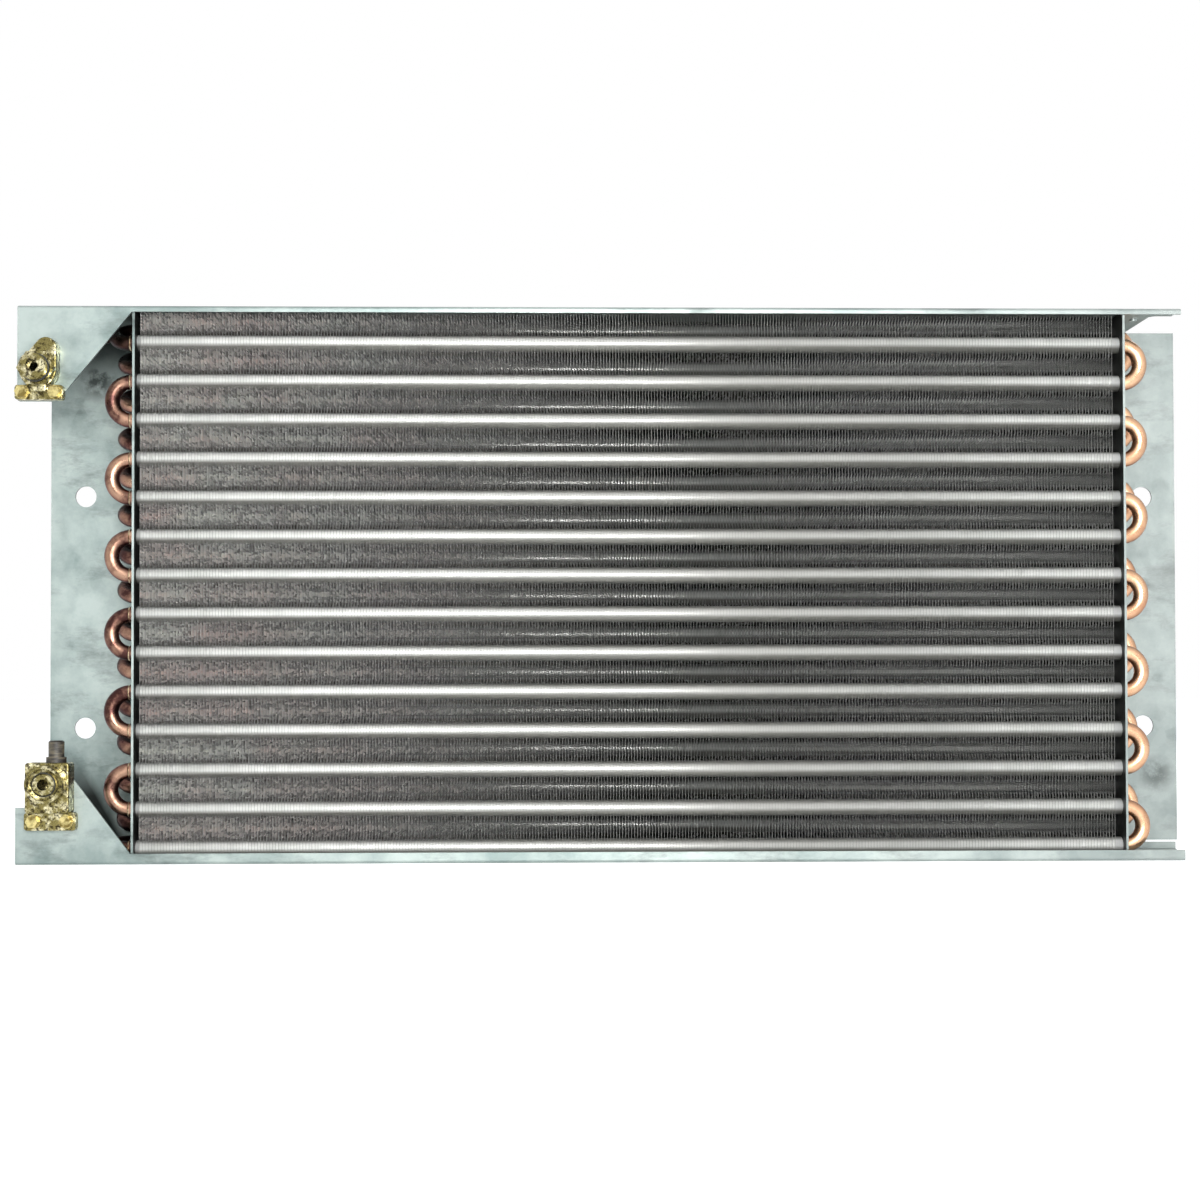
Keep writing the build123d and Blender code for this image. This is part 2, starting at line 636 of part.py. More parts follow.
# Outlet fitting: a block with a sleeve for the coupling collar and a threaded hole for the charge port
outlet_block_top = OUTLET_HEIGHT + OUTLET_BLOCK_RISE
charge_x = outlet_x + CHARGE_OFFSET
charge_y = -rail_y - OUTLET_BLOCK_DEPTH / 2
charge_foot_z = outlet_block_top - CHARGE_STEM_SINK
charge_top_z = outlet_block_top + CHARGE_STEM_HEIGHT
with BuildPart() as outlet_fitting_body:
    with BuildSketch(gusset_front):
        with Locations(outlet_port):
            Rectangle(OUTLET_BLOCK_WIDTH, OUTLET_BLOCK_RISE, align=(Align.CENTER, Align.MIN))
            Rectangle(OUTLET_BLOCK_WIDTH, OUTLET_BLOCK_DROP, align=(Align.CENTER, Align.MAX))
    extrude(amount=OUTLET_BLOCK_DEPTH)
    fillet(outlet_fitting_body.edges().filter_by(Axis.Y), FOOT_CORNER_RADIUS)
    fillet(outlet_fitting_body.faces().sort_by(Axis.Y)[0].edges(), BODY_EDGE_RADIUS)
    add(outlet_base)
    with BuildSketch(gusset_front.offset(OUTLET_BLOCK_DEPTH)):
        with Locations(outlet_port):
            Circle(OUTLET_SLEEVE_DIAMETER / 2)
    extrude(amount=PORT_REACH - OUTLET_BLOCK_DEPTH)
    chamfer(outlet_fitting_body.faces().sort_by(Axis.Y)[0].edges(), NOSE_CHAMFER)
    # Grooves round the sleeve for the snap ring and the seal
    for start, width, depth in (
        (snap_ring_start, SNAP_RING_THICKNESS, SNAP_RING_DEPTH),
        (outlet_seal_start, O_RING_GROOVE_WIDTH, O_RING_GROOVE_DEPTH),
    ):
        with BuildSketch(gusset_front.offset(start)):
            with Locations(outlet_port):
                Circle(OUTLET_SLEEVE_DIAMETER / 2)
                Circle(OUTLET_SLEEVE_DIAMETER / 2 - depth, mode=Mode.SUBTRACT)
        extrude(amount=width, mode=Mode.SUBTRACT)
    add(outlet_bores, mode=Mode.SUBTRACT)
    with BuildSketch(Plane.XY.offset(outlet_block_top)):
        with Locations((charge_x, charge_y)):
            Circle(CHARGE_STEM_DIAMETER / 2)
    extrude(amount=-CHARGE_STEM_SINK, mode=Mode.SUBTRACT)
    with BuildSketch(Plane.XY.offset(charge_foot_z)):
        with Locations((charge_x, charge_y)):
            Circle(CHARGE_PASSAGE_DIAMETER / 2)
    extrude(amount=OUTLET_HEIGHT - charge_foot_z, mode=Mode.SUBTRACT)
outlet_fitting_body.part.label = "outlet_fitting_body"

# Coupling collar: a cup that turns on the sleeve, held by a snap ring
with BuildPart() as outlet_coupling_collar:
    with BuildSketch(gusset_front.offset(OUTLET_BLOCK_DEPTH)):
        with Locations(outlet_port):
            Circle(COLLAR_DIAMETER / 2)
            Circle(OUTLET_SLEEVE_DIAMETER / 2 + COLLAR_CLEARANCE, mode=Mode.SUBTRACT)
    extrude(amount=COLLAR_LENGTH)
    with BuildSketch(gusset_front.offset(OUTLET_BLOCK_DEPTH + COLLAR_FLOOR)):
        with Locations(outlet_port):
            Circle(COLLAR_BORE_DIAMETER / 2)
    extrude(amount=COLLAR_LENGTH - COLLAR_FLOOR, mode=Mode.SUBTRACT)
    rims = outlet_coupling_collar.edges().filter_by(GeomType.CIRCLE).group_by(SortBy.RADIUS)[-1]
    chamfer(rims, NOSE_CHAMFER)
outlet_coupling_collar.part.label = "outlet_coupling_collar"

with BuildPart() as collar_snap_ring:
    with BuildSketch(gusset_front.offset(snap_ring_start)):
        with Locations(outlet_port):
            Circle(OUTLET_SLEEVE_DIAMETER / 2 + SNAP_RING_DEPTH)
            Circle(OUTLET_SLEEVE_DIAMETER / 2 - SNAP_RING_DEPTH, mode=Mode.SUBTRACT)
            with Locations((0, OUTLET_SLEEVE_DIAMETER / 2)):
                Rectangle(SNAP_RING_OPENING, 4 * SNAP_RING_DEPTH, mode=Mode.SUBTRACT)
    extrude(amount=SNAP_RING_THICKNESS)
collar_snap_ring.part.label = "collar_snap_ring"


def o_ring(port, start, seat_diameter):
    """A rubber ring in the groove that starts at a distance in front of the gusset."""
    ring_y = -rail_y - start - O_RING_GROOVE_WIDTH / 2
    groove_r = seat_diameter / 2 - O_RING_GROOVE_DEPTH
    ring_r = groove_r + O_RING_CLEARANCE + O_RING_SECTION / 2
    with BuildPart() as ring:
        with BuildSketch(Plane(origin=(port[0], ring_y, port[1]), z_dir=(0, 0, 1))):
            with Locations((ring_r, 0)):
                Circle(O_RING_SECTION / 2)
        revolve(axis=Axis((port[0], ring_y, port[1]), (0, 1, 0)))
    return ring


inlet_o_ring = o_ring(inlet_port, inlet_hex_front, INLET_NOSE_DIAMETER)
inlet_o_ring.part.label = "inlet_o_ring"
outlet_o_ring = o_ring(outlet_port, outlet_seal_start, OUTLET_SLEEVE_DIAMETER)
outlet_o_ring.part.label = "outlet_o_ring"

# Check valve in the outlet bore: a guide with three ports round a pin
with BuildPart() as outlet_check_valve:
    with BuildSketch(gusset_front.offset(CHECK_VALVE_START)):
        with Locations(outlet_port):
            Circle(OUTLET_BORE_DIAMETER / 2)
            with PolarLocations(CHECK_PORT_CIRCLE / 2, 3):
                Circle(CHECK_PORT_DIAMETER / 2, mode=Mode.SUBTRACT)
    extrude(amount=CHECK_VALVE_LENGTH)
    with BuildSketch(gusset_front.offset(CHECK_VALVE_START + CHECK_VALVE_LENGTH)):
        with Locations(outlet_port):
            Circle(VALVE_PIN_DIAMETER / 2)
    extrude(amount=CHECK_VALVE_LENGTH)
outlet_check_valve.part.label = "outlet_check_valve"

# Charge port: a stem screwed into the block, a valve core in the stem and a cap over it
with BuildPart() as charge_port_stem:
    with BuildSketch(Plane.XY.offset(charge_foot_z)):
        with Locations((charge_x, charge_y)):
            Circle(CHARGE_STEM_DIAMETER / 2)
            Circle(CHARGE_BORE_DIAMETER / 2, mode=Mode.SUBTRACT)
    extrude(amount=charge_top_z - charge_foot_z)
charge_port_stem.part.label = "charge_port_stem"

with BuildPart() as charge_valve_core:
    with BuildSketch(Plane.XY.offset(outlet_block_top)):
        with Locations((charge_x, charge_y)):
            Circle(CHARGE_BORE_DIAMETER / 2)
    extrude(amount=CHARGE_STEM_HEIGHT / 2)
    with BuildSketch(Plane.XY.offset(outlet_block_top)):
        with Locations((charge_x, charge_y)):
            Circle(VALVE_PIN_DIAMETER / 2)
    extrude(amount=CHARGE_STEM_HEIGHT - VALVE_PIN_DROP)
charge_valve_core.part.label = "charge_valve_core"

with BuildPart() as charge_port_cap:
    with BuildSketch(Plane.XY.offset(outlet_block_top)):
        with Locations((charge_x, charge_y)):
            Circle(CAP_DIAMETER / 2)
    extrude(amount=CHARGE_STEM_HEIGHT + CAP_TOP_WALL)
    chamfer(charge_port_cap.faces().sort_by(Axis.Z)[-1].edges(), NOSE_CHAMFER)
    with BuildSketch(Plane.XY.offset(outlet_block_top)):
        with Locations((charge_x, charge_y)):
            Circle(CAP_SKIRT_DIAMETER / 2)
    extrude(amount=CAP_SKIRT_HEIGHT)
    with BuildSketch(Plane.XY.offset(outlet_block_top)):
        with Locations((charge_x, charge_y)):
            Circle(CHARGE_STEM_DIAMETER / 2)
    extrude(amount=CHARGE_STEM_HEIGHT, mode=Mode.SUBTRACT)
charge_port_cap.part.label = "charge_port_cap"


def foot_screws(foot):
    """Two hexagon screws with washer faces, through a fitting's foot and its gusset."""
    head_plane = gusset_front.offset(FOOT_THICKNESS)
    with BuildPart() as screws:
        with BuildSketch(head_plane):
            with Locations(foot):
                with GridLocations(SCREW_SPACING, 0, 2, 1):
                    Circle(SCREW_WASHER_DIAMETER / 2)
        extrude(amount=SCREW_WASHER_THICKNESS)
        with BuildSketch(head_plane.offset(SCREW_WASHER_THICKNESS)):
            with Locations(foot):
                with GridLocations(SCREW_SPACING, 0, 2, 1):
                    RegularPolygon(SCREW_HEAD_WIDTH / 2, 6, major_radius=False)
        extrude(amount=SCREW_HEAD_HEIGHT)
        with BuildSketch(head_plane):
            with Locations(foot):
                with GridLocations(SCREW_SPACING, 0, 2, 1):
                    Circle(SCREW_DIAMETER / 2)
        extrude(amount=-(FOOT_THICKNESS + RAIL_THICKNESS + NUT_HEIGHT + SCREW_TAIL))
    return screws


inlet_fitting_screws = foot_screws(inlet_foot)
inlet_fitting_screws.part.label = "inlet_fitting_screws"
outlet_fitting_screws = foot_screws(outlet_foot)
outlet_fitting_screws.part.label = "outlet_fitting_screws"

with BuildPart() as fitting_screw_nuts:
    with BuildSketch(gusset_front.offset(-RAIL_THICKNESS)):
        for foot in (inlet_foot, outlet_foot):
            with Locations(foot):
                with GridLocations(SCREW_SPACING, 0, 2, 1):
                    RegularPolygon(NUT_WIDTH / 2, 6, major_radius=False)
                    Circle(SCREW_DIAMETER / 2, mode=Mode.SUBTRACT)
    extrude(amount=-NUT_HEIGHT)
fitting_screw_nuts.part.label = "fitting_screw_nuts"

os.makedirs("parts", exist_ok=True)
for piece in (
    fin_pack,
    left_tube_sheet,
    right_tube_sheet,
    top_rail,
    bottom_rail,
    top_rail_rivets,
    bottom_rail_rivets,
    hairpin_tubes_front,
    hairpin_tubes_middle,
    hairpin_tubes_rear,
    front_return_bends,
    diagonal_return_bends,
    inlet_branch_bend,
    inlet_feed_tube,
    outlet_branch_bend,
    outlet_feed_tube,
    inlet_fitting_body,
    inlet_o_ring,
    inlet_fitting_screws,
    outlet_fitting_body,
    outlet_coupling_collar,
    collar_snap_ring,
    outlet_o_ring,
    outlet_check_valve,
    outlet_fitting_screws,
    fitting_screw_nuts,
    charge_port_stem,
    charge_valve_core,
    charge_port_cap,
):
    export_step(piece.part, f"parts/{piece.part.label}.step")
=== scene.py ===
"""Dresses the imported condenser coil: its real fins, its brazed joints and the finish of every surface."""

import logging
import math
import random
from dataclasses import dataclass
from enum import Enum
from typing import Callable, Sequence

import bmesh
import bpy
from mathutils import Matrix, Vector


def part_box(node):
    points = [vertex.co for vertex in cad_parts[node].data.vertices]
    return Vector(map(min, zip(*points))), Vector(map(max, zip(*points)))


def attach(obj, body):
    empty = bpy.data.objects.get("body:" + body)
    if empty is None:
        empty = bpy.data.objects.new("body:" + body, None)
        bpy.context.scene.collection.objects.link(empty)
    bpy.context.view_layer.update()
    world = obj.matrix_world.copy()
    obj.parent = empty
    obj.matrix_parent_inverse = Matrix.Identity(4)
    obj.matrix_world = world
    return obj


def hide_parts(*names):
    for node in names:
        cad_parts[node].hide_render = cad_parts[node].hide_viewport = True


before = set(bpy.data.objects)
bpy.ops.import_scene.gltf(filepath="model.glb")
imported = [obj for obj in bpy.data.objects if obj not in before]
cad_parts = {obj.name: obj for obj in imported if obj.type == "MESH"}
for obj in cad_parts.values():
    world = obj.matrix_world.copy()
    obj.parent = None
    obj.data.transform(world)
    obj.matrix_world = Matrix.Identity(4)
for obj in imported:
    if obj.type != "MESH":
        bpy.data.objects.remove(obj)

LOG = logging.getLogger("condenser")
MM = 0.001
INCH = 25.4 * MM

# The display curve between a level on a screen and light
TOP_LEVEL = 255
CURVE_TOE = 0.04045
CURVE_SLOPE = 12.92
CURVE_LIFT = 0.055
CURVE_POWER = 2.4

# The sockets of a mix node that hold its share, its two colours and its result
MIX_INPUTS = (0, 6, 7)
MIX_OUTPUT = 2

Colour = tuple[float, float, float]
Point = tuple[float, float, float]
Socket = bpy.types.NodeSocket

WHITE: Colour = (1.0, 1.0, 1.0)


def linear(level: float) -> float:
    """Turns one channel of a colour on a screen into light.

    Args:
        level: The level, 0 to 255.

    Returns:
        The light, 0 to 1.
    """
    share = level / TOP_LEVEL
    if share <= CURVE_TOE:
        return share / CURVE_SLOPE
    return ((share + CURVE_LIFT) / (1 + CURVE_LIFT)) ** CURVE_POWER


def srgb(red: float, green: float, blue: float) -> Colour:
    """Turns a colour as seen on a screen, 0 to 255, into the linear colour that a shader takes."""
    return linear(red), linear(green), linear(blue)


class Axis(Enum):
    """A direction of the shared frame."""

    X = 0
    Y = 1
    Z = 2


class Row(Enum):
    """A row of tubes, counted from the front."""

    FRONT = 1
    MIDDLE = 2
    REAR = 3


class Sum(Enum):
    """A sum that a node works out, by Blender's name for it."""

    ADD = "ADD"
    SUBTRACT = "SUBTRACT"
    MULTIPLY = "MULTIPLY"
    MAXIMUM = "MAXIMUM"
    ABSOLUTE = "ABSOLUTE"
    REMAINDER = "FLOORED_MODULO"


@dataclass(frozen=True)
class Grain:
    """A soft noise: patches per metre, stretch along X, Y and Z, finer layers and their strength."""

    scale: float
    stretch: Point = (1.0, 1.0, 1.0)
    detail: float = 3.0
    roughness: float = 0.5


@dataclass(frozen=True)
class Slope:
    """A range of a value, and what its two ends become. Past them the result stays level."""

    low: float
    high: float
    start: float = 0.0
    end: float = 1.0


@dataclass(frozen=True)
class Band:
    """A range of a value, and how wide the soft end on each side of it is."""

    low: float
    high: float
    fade: float


@dataclass(frozen=True)
class Relief:
    """How much of a height shows on a surface, and what a height of 1 stands for, in metres."""

    strength: float
    distance: float


class Tree:
    """A node tree, with short calls for the nodes that the whole scene shares."""

    def __init__(self, tree: bpy.types.NodeTree) -> None:
        """Takes over a node tree and empties it."""
        self.tree = tree
        self.tree.nodes.clear()

    def node(self, kind: str, **values: object) -> bpy.types.Node:
        """Adds a node.

        Args:
            kind: The node's type, without its common prefix.
            values: Attributes of the node, or inputs by name, with underscores for spaces.

        Returns:
            The new node.
        """
        made = self.tree.nodes.new("ShaderNode" + kind)
        for key, value in values.items():
            socket = key.replace("_", " ")
            if socket in made.inputs:
                self.feed(made.inputs[socket], value)
            else:
                setattr(made, key, value)
        return made

    def feed(self, socket: Socket, value: object) -> None:
        """Links an output to a socket, or sets the socket's own value.

        Args:
            socket: The input.
            value: An output socket, a number or a colour.
        """
        if isinstance(value, Socket):
            self.tree.links.new(value, socket)
        elif socket.type == "RGBA":
            socket.default_value = (*value, 1.0)
        else:
            socket.default_value = value

    def maths(self, kind: Sum, *values: object) -> Socket:
        """Works out one value from several, two at a time from the left.

        Args:
            kind: The sum.
            values: Two or more values.

        Returns:
            The result.
        """
        result, *others = values
        for other in others:
            made = self.node("Math", operation=kind.value)
            self.feed(made.inputs[0], result)
            self.feed(made.inputs[1], other)
            result = made.outputs[0]
        return result

    def times(self, *values: object) -> Socket:
        """The product of two or more values."""
        return self.maths(Sum.MULTIPLY, *values)

    def largest(self, *values: object) -> Socket:
        """The largest of two or more values."""
        return self.maths(Sum.MAXIMUM, *values)

    def unsigned(self, value: Socket) -> Socket:
        """A value without its sign."""
        return self.maths(Sum.ABSOLUTE, value, 0.0)

    def seen(self) -> Socket:
        """Whether a ray comes from the camera, a reflection or something see-through."""
        path = self.node("LightPath").outputs
        return self.largest(path["Is Camera Ray"], path["Is Glossy Ray"], path["Is Transmission Ray"])


class Graph(Tree):
    """A material's nodes, round one surface shader."""

    def __init__(self, name: str) -> None:
        """Makes the material and its surface shader.

        Args:
            name: The material's name.
        """
        self.material = bpy.data.materials.new(name)
        self.material.use_nodes = True
        super().__init__(self.material.node_tree)
        self.surface = self.node("BsdfPrincipled")
        self.output = self.node("OutputMaterial", Surface=self.surface.outputs["BSDF"])
        self.place = self.node("TexCoord").outputs["Object"]

    def scaled(self, scale: Point) -> Socket:
        """The place on the piece, stretched along X, Y and Z."""
        return self.node("Mapping", Vector=self.place, Scale=scale).outputs["Vector"]

    def along(self, axis: Axis) -> Socket:
        """One coordinate of the place on the piece, in metres."""
        return self.node("SeparateXYZ", Vector=self.place).outputs[axis.value]

    def facing(self, axis: Axis) -> Socket:
        """How far the surface faces along an axis, from -1 to 1."""
        normal = self.node("NewGeometry").outputs["Normal"]
        return self.node("SeparateXYZ", Vector=normal).outputs[axis.value]

    def noise(self, grain: Grain) -> Socket:
        """Soft noise fixed to the piece.

        Args:
            grain: How it looks.

        Returns:
            The noise, about 0.3 to 0.7.
        """
        made = self.node("TexNoise", Vector=self.scaled(grain.stretch), Scale=grain.scale,
                         Detail=grain.detail, Roughness=grain.roughness)
        return made.outputs["Fac"]

    def cells(self, scale: float, stretch: Point = (1.0, 1.0, 1.0)) -> Socket:
        """Crystal-like patches, each of one random tone.

        Args:
            scale: Patches per metre.
            stretch: Factors along X, Y and Z.

        Returns:
            The tone, 0 to 1.
        """
        made = self.node("TexVoronoi", Vector=self.scaled(stretch), Scale=scale)
        return self.node("SeparateColor", Color=made.outputs["Color"]).outputs["Red"]

    def ramp(self, value: Socket, slope: Slope) -> Socket:
        """Maps a range of a value onto another, without going past its ends.

        Args:
            value: The value.
            slope: Both ranges.

        Returns:
            The mapped value.
        """
        made = self.node("MapRange", Value=value, From_Min=slope.low, From_Max=slope.high,
                         To_Min=slope.start, To_Max=slope.end)
        return made.outputs["Result"]

    def without(self, share: Socket) -> Socket:
        """What a share leaves of 1."""
        return self.ramp(share, Slope(0.0, 1.0, 1.0, 0.0))

    def band(self, value: Socket, band: Band) -> Socket:
        """Marks a range of a value, with soft ends.

        Args:
            value: The value.
            band: The range.

        Returns:
            1 inside the range, 0 outside.
        """
        rising = self.ramp(value, Slope(band.low - band.fade, band.low))
        falling = self.ramp(value, Slope(band.high, band.high + band.fade, 1.0, 0.0))
        return self.times(rising, falling)

    def mix(self, share: Socket, first: object, second: object) -> Socket:
        """Blends two colours.

        Args:
            share: How much of the second.
            first: The first colour.
            second: The second colour.

        Returns:
            The blended colour.
        """
        made = self.node("Mix", data_type="RGBA")
        for index, value in zip(MIX_INPUTS, (share, first, second)):
            self.feed(made.inputs[index], value)
        return made.outputs[MIX_OUTPUT]

    def beyond(self, start: Point, end: Point) -> Socket:
        """How far the place lies to the right of a line, seen from the front.

        Args:
            start: One point of the line.
            end: Another, further along it.

        Returns:
            The distance in metres, below zero on the left.
        """
        (start_x, _, start_z), (end_x, _, end_z) = start, end
        run, rise = end_x - start_x, end_z - start_z
        length = math.hypot(run, rise)
        made = self.node("VectorMath", operation="DOT_PRODUCT")
        self.feed(made.inputs[0], self.place)
        self.feed(made.inputs[1], (rise / length, 0.0, -run / length))
        return self.maths(Sum.SUBTRACT, made.outputs["Value"], (start_x * rise - start_z * run) / length)

    def around(self, middle: Point) -> Socket:
        """How far the place lies from a line that runs from front to back.

        Args:
            middle: A point of the line, with 0 along Y.

        Returns:
            The distance in metres.
        """
        made = self.node("VectorMath", operation="DISTANCE")
        self.feed(made.inputs[0], self.scaled((1.0, 0.0, 1.0)))
        self.feed(made.inputs[1], middle)
        return made.outputs["Value"]

    def raised(self, height: Socket, relief: Relief) -> None:
        """Makes the surface uneven by a height.

        Args:
            height: The height, 0 to 1.
            relief: How strongly it shows.
        """
        made = self.node("Bump", Height=height, Strength=relief.strength, Distance=relief.distance)
        self.feed(self.surface.inputs["Normal"], made.outputs["Normal"])

    def shade(self, **values: object) -> bpy.types.Material:
        """Sets the surface shader's inputs.

        Args:
            values: The inputs by name, with underscores for spaces.

        Returns:
            The finished material.
        """
        for key, value in values.items():
            self.feed(self.surface.inputs[key.replace("_", " ")], value)
        return self.material


@dataclass(frozen=True)
class Galvanised:
    """Zinc-coated sheet steel: blue-green grey, greyer at the right, with spangles, streaks and stains."""

    name: str = "galvanised_steel"
    light: Colour = srgb(160, 171, 167)
    middle: Colour = srgb(122, 137, 134)
    stain: Colour = srgb(66, 76, 74)
    neutral: Colour = srgb(158, 158, 157)
    spangles: float = 95.0
    cloud: Grain = Grain(16.0, detail=6.0, roughness=0.65)
    streak: Grain = Grain(26.0, (0.6, 1.0, 1.5), detail=6.0, roughness=0.7)
    ripple: Grain = Grain(140.0, detail=4.0)
    light_by_cloud: Slope = Slope(0.40, 0.60)
    stain_by_streak: Slope = Slope(0.52, 0.72, 0.0, 0.85)
    light_by_spangle: Slope = Slope(0.0, 1.0, 0.0, 0.26)
    neutral_by_place: Slope = Slope(0.0, 360.0 * MM, 0.0, 0.30)
    spangle_gloss: float = 0.4
    roughness: Slope = Slope(0.3, 1.0, 0.30, 0.52)
    metallic: float = 0.55
    relief: Relief = Relief(0.25, 0.4 * MM)

    def tone(self, graph: Graph) -> Socket:
        """Works out the zinc's colour, and sets its roughness and relief.

        Args:
            graph: The material's graph.

        Returns:
            The colour.
        """
        spangle = graph.cells(self.spangles)
        cloud = graph.noise(self.cloud)
        streak = graph.noise(self.streak)
        colour = graph.mix(graph.ramp(cloud, self.light_by_cloud), self.middle, self.light)
        colour = graph.mix(graph.ramp(streak, self.stain_by_streak), colour, self.stain)
        colour = graph.mix(graph.ramp(spangle, self.light_by_spangle), colour, self.light)
        colour = graph.mix(graph.ramp(graph.along(Axis.X), self.neutral_by_place), colour, self.neutral)
        grain = graph.maths(Sum.ADD, graph.times(spangle, self.spangle_gloss), cloud)
        graph.raised(graph.noise(self.ripple), self.relief)
        graph.shade(Roughness=graph.ramp(grain, self.roughness))
        return colour

    def build(self) -> bpy.types.Material:
        """Makes the material."""
        graph = Graph(self.name)
        return graph.shade(Base_Color=self.tone(graph), Metallic=self.metallic)


@dataclass(frozen=True)
class DarkPatch:
    """A round dark patch: its middle, its reach in metres and its darkness, full up to a share of the
    reach.
    """

    middle: Point
    reach: float
    darkness: float
    full_share: float = 0.3

    def fade(self) -> Slope:
        """How it fades with the distance from its middle."""
        return Slope(self.full_share * self.reach, self.reach, self.darkness, 0.0)


@dataclass(frozen=True)
class SheetZinc(Galvanised):
    """The zinc of the tube sheets, with painted shade where they face the fins and a painted shadow beside
    the gussets.

    The two lines are the gussets' slanted edges, as they fall on the left flange seen from the front.
    """

    name: str = "tube_sheet_zinc"
    # Painted shade: the colour of the faces that look towards the fins.
    painted_shade: Colour = srgb(24, 26, 24)
    # The colour of the painted shadow beside the gussets and of the dark patches.
    painted_shadow_and_patch_tone: Colour = srgb(30, 36, 34)
    upper_line: tuple[Point, Point] = ((-386.9 * MM, 0.0, 319.0 * MM), (-341.7 * MM, 0.0, 371.8 * MM))
    lower_line: tuple[Point, Point] = ((-341.0 * MM, 0.0, -8.1 * MM), (-378.0 * MM, 0.0, 56.3 * MM))
    upper_by_distance: Slope = Slope(14.0 * MM, 30.0 * MM, 1.0, 0.0)
    lower_by_distance: Slope = Slope(3.0 * MM, 9.0 * MM, 1.0, 0.0)
    upper_by_height: Slope = Slope(318.0 * MM, 352.0 * MM)
    lower_by_height: Slope = Slope(40.0 * MM, 74.0 * MM, 1.0, 0.0)
    left_half: Slope = Slope(-310.0 * MM, 0.0, 1.0, 0.0)
    # The first two patches are painted shadow, below the upper gusset and under the top rail at the right;
    # the third is a darker patch low on the right flange.
    dark_patches: tuple[DarkPatch, ...] = (
        DarkPatch((-364.0 * MM, 0.0, 325.0 * MM), 17.0 * MM, 0.85),
        DarkPatch((336.0 * MM, 0.0, 341.0 * MM), 16.0 * MM, 0.80),
        DarkPatch((366.0 * MM, 0.0, 53.0 * MM), 15.0 * MM, 0.60),
    )
    ragged: Grain = Grain(90.0, detail=4.0, roughness=0.7)
    patch_by_ragged: Slope = Slope(0.3, 0.55)
    front_face: Slope = Slope(-0.7, -0.3, 1.0, 0.0)
    inner_face: Slope = Slope(-248.0 * MM, -186.0 * MM, 1.0, 0.0)

    def painted_shadow_and_patch_share(self, graph: Graph) -> Socket:
        """Works out the painted shadow beside both gussets and in the dark patches, on the front faces.

        Args:
            graph: The material's graph.

        Returns:
            The share of painted shadow and darker patch, 0 to 1.
        """
        height = graph.along(Axis.Z)
        # Painted shadow: bands beside both gussets' slanted edges, on the left flange.
        upper = graph.times(graph.ramp(graph.beyond(*self.upper_line), self.upper_by_distance),
                            graph.ramp(height, self.upper_by_height))
        lower = graph.times(graph.ramp(graph.beyond(*self.lower_line), self.lower_by_distance),
                            graph.ramp(height, self.lower_by_height))
        left = graph.ramp(graph.along(Axis.X), self.left_half)
        share = graph.times(graph.largest(upper, lower), left)
        ragged = graph.ramp(graph.noise(self.ragged), self.patch_by_ragged)
        for patch in self.dark_patches:
            near = graph.ramp(graph.around(patch.middle), patch.fade())
            share = graph.largest(share, graph.times(near, ragged))
        return graph.times(share, graph.ramp(graph.facing(Axis.Y), self.front_face))

    def build(self) -> bpy.types.Material:
        """Makes the material.

        Returns:
            The finished material.
        """
        graph = Graph(self.name)
        colour = graph.mix(self.painted_shadow_and_patch_share(graph), self.tone(graph), self.painted_shadow_and_patch_tone)
        # This product is below zero where a face looks towards the middle of the coil.
        inward = graph.times(graph.facing(Axis.X), graph.along(Axis.X))
        # Painted shade between the sheets and the fins: these faces turn near black and lose their metal.
        painted_shade_share = graph.ramp(inward, self.inner_face)
        return graph.shade(Base_Color=graph.mix(painted_shade_share, colour, self.painted_shade),
                           Metallic=graph.ramp(painted_shade_share, Slope(0.0, 1.0, self.metallic, 0.0)))


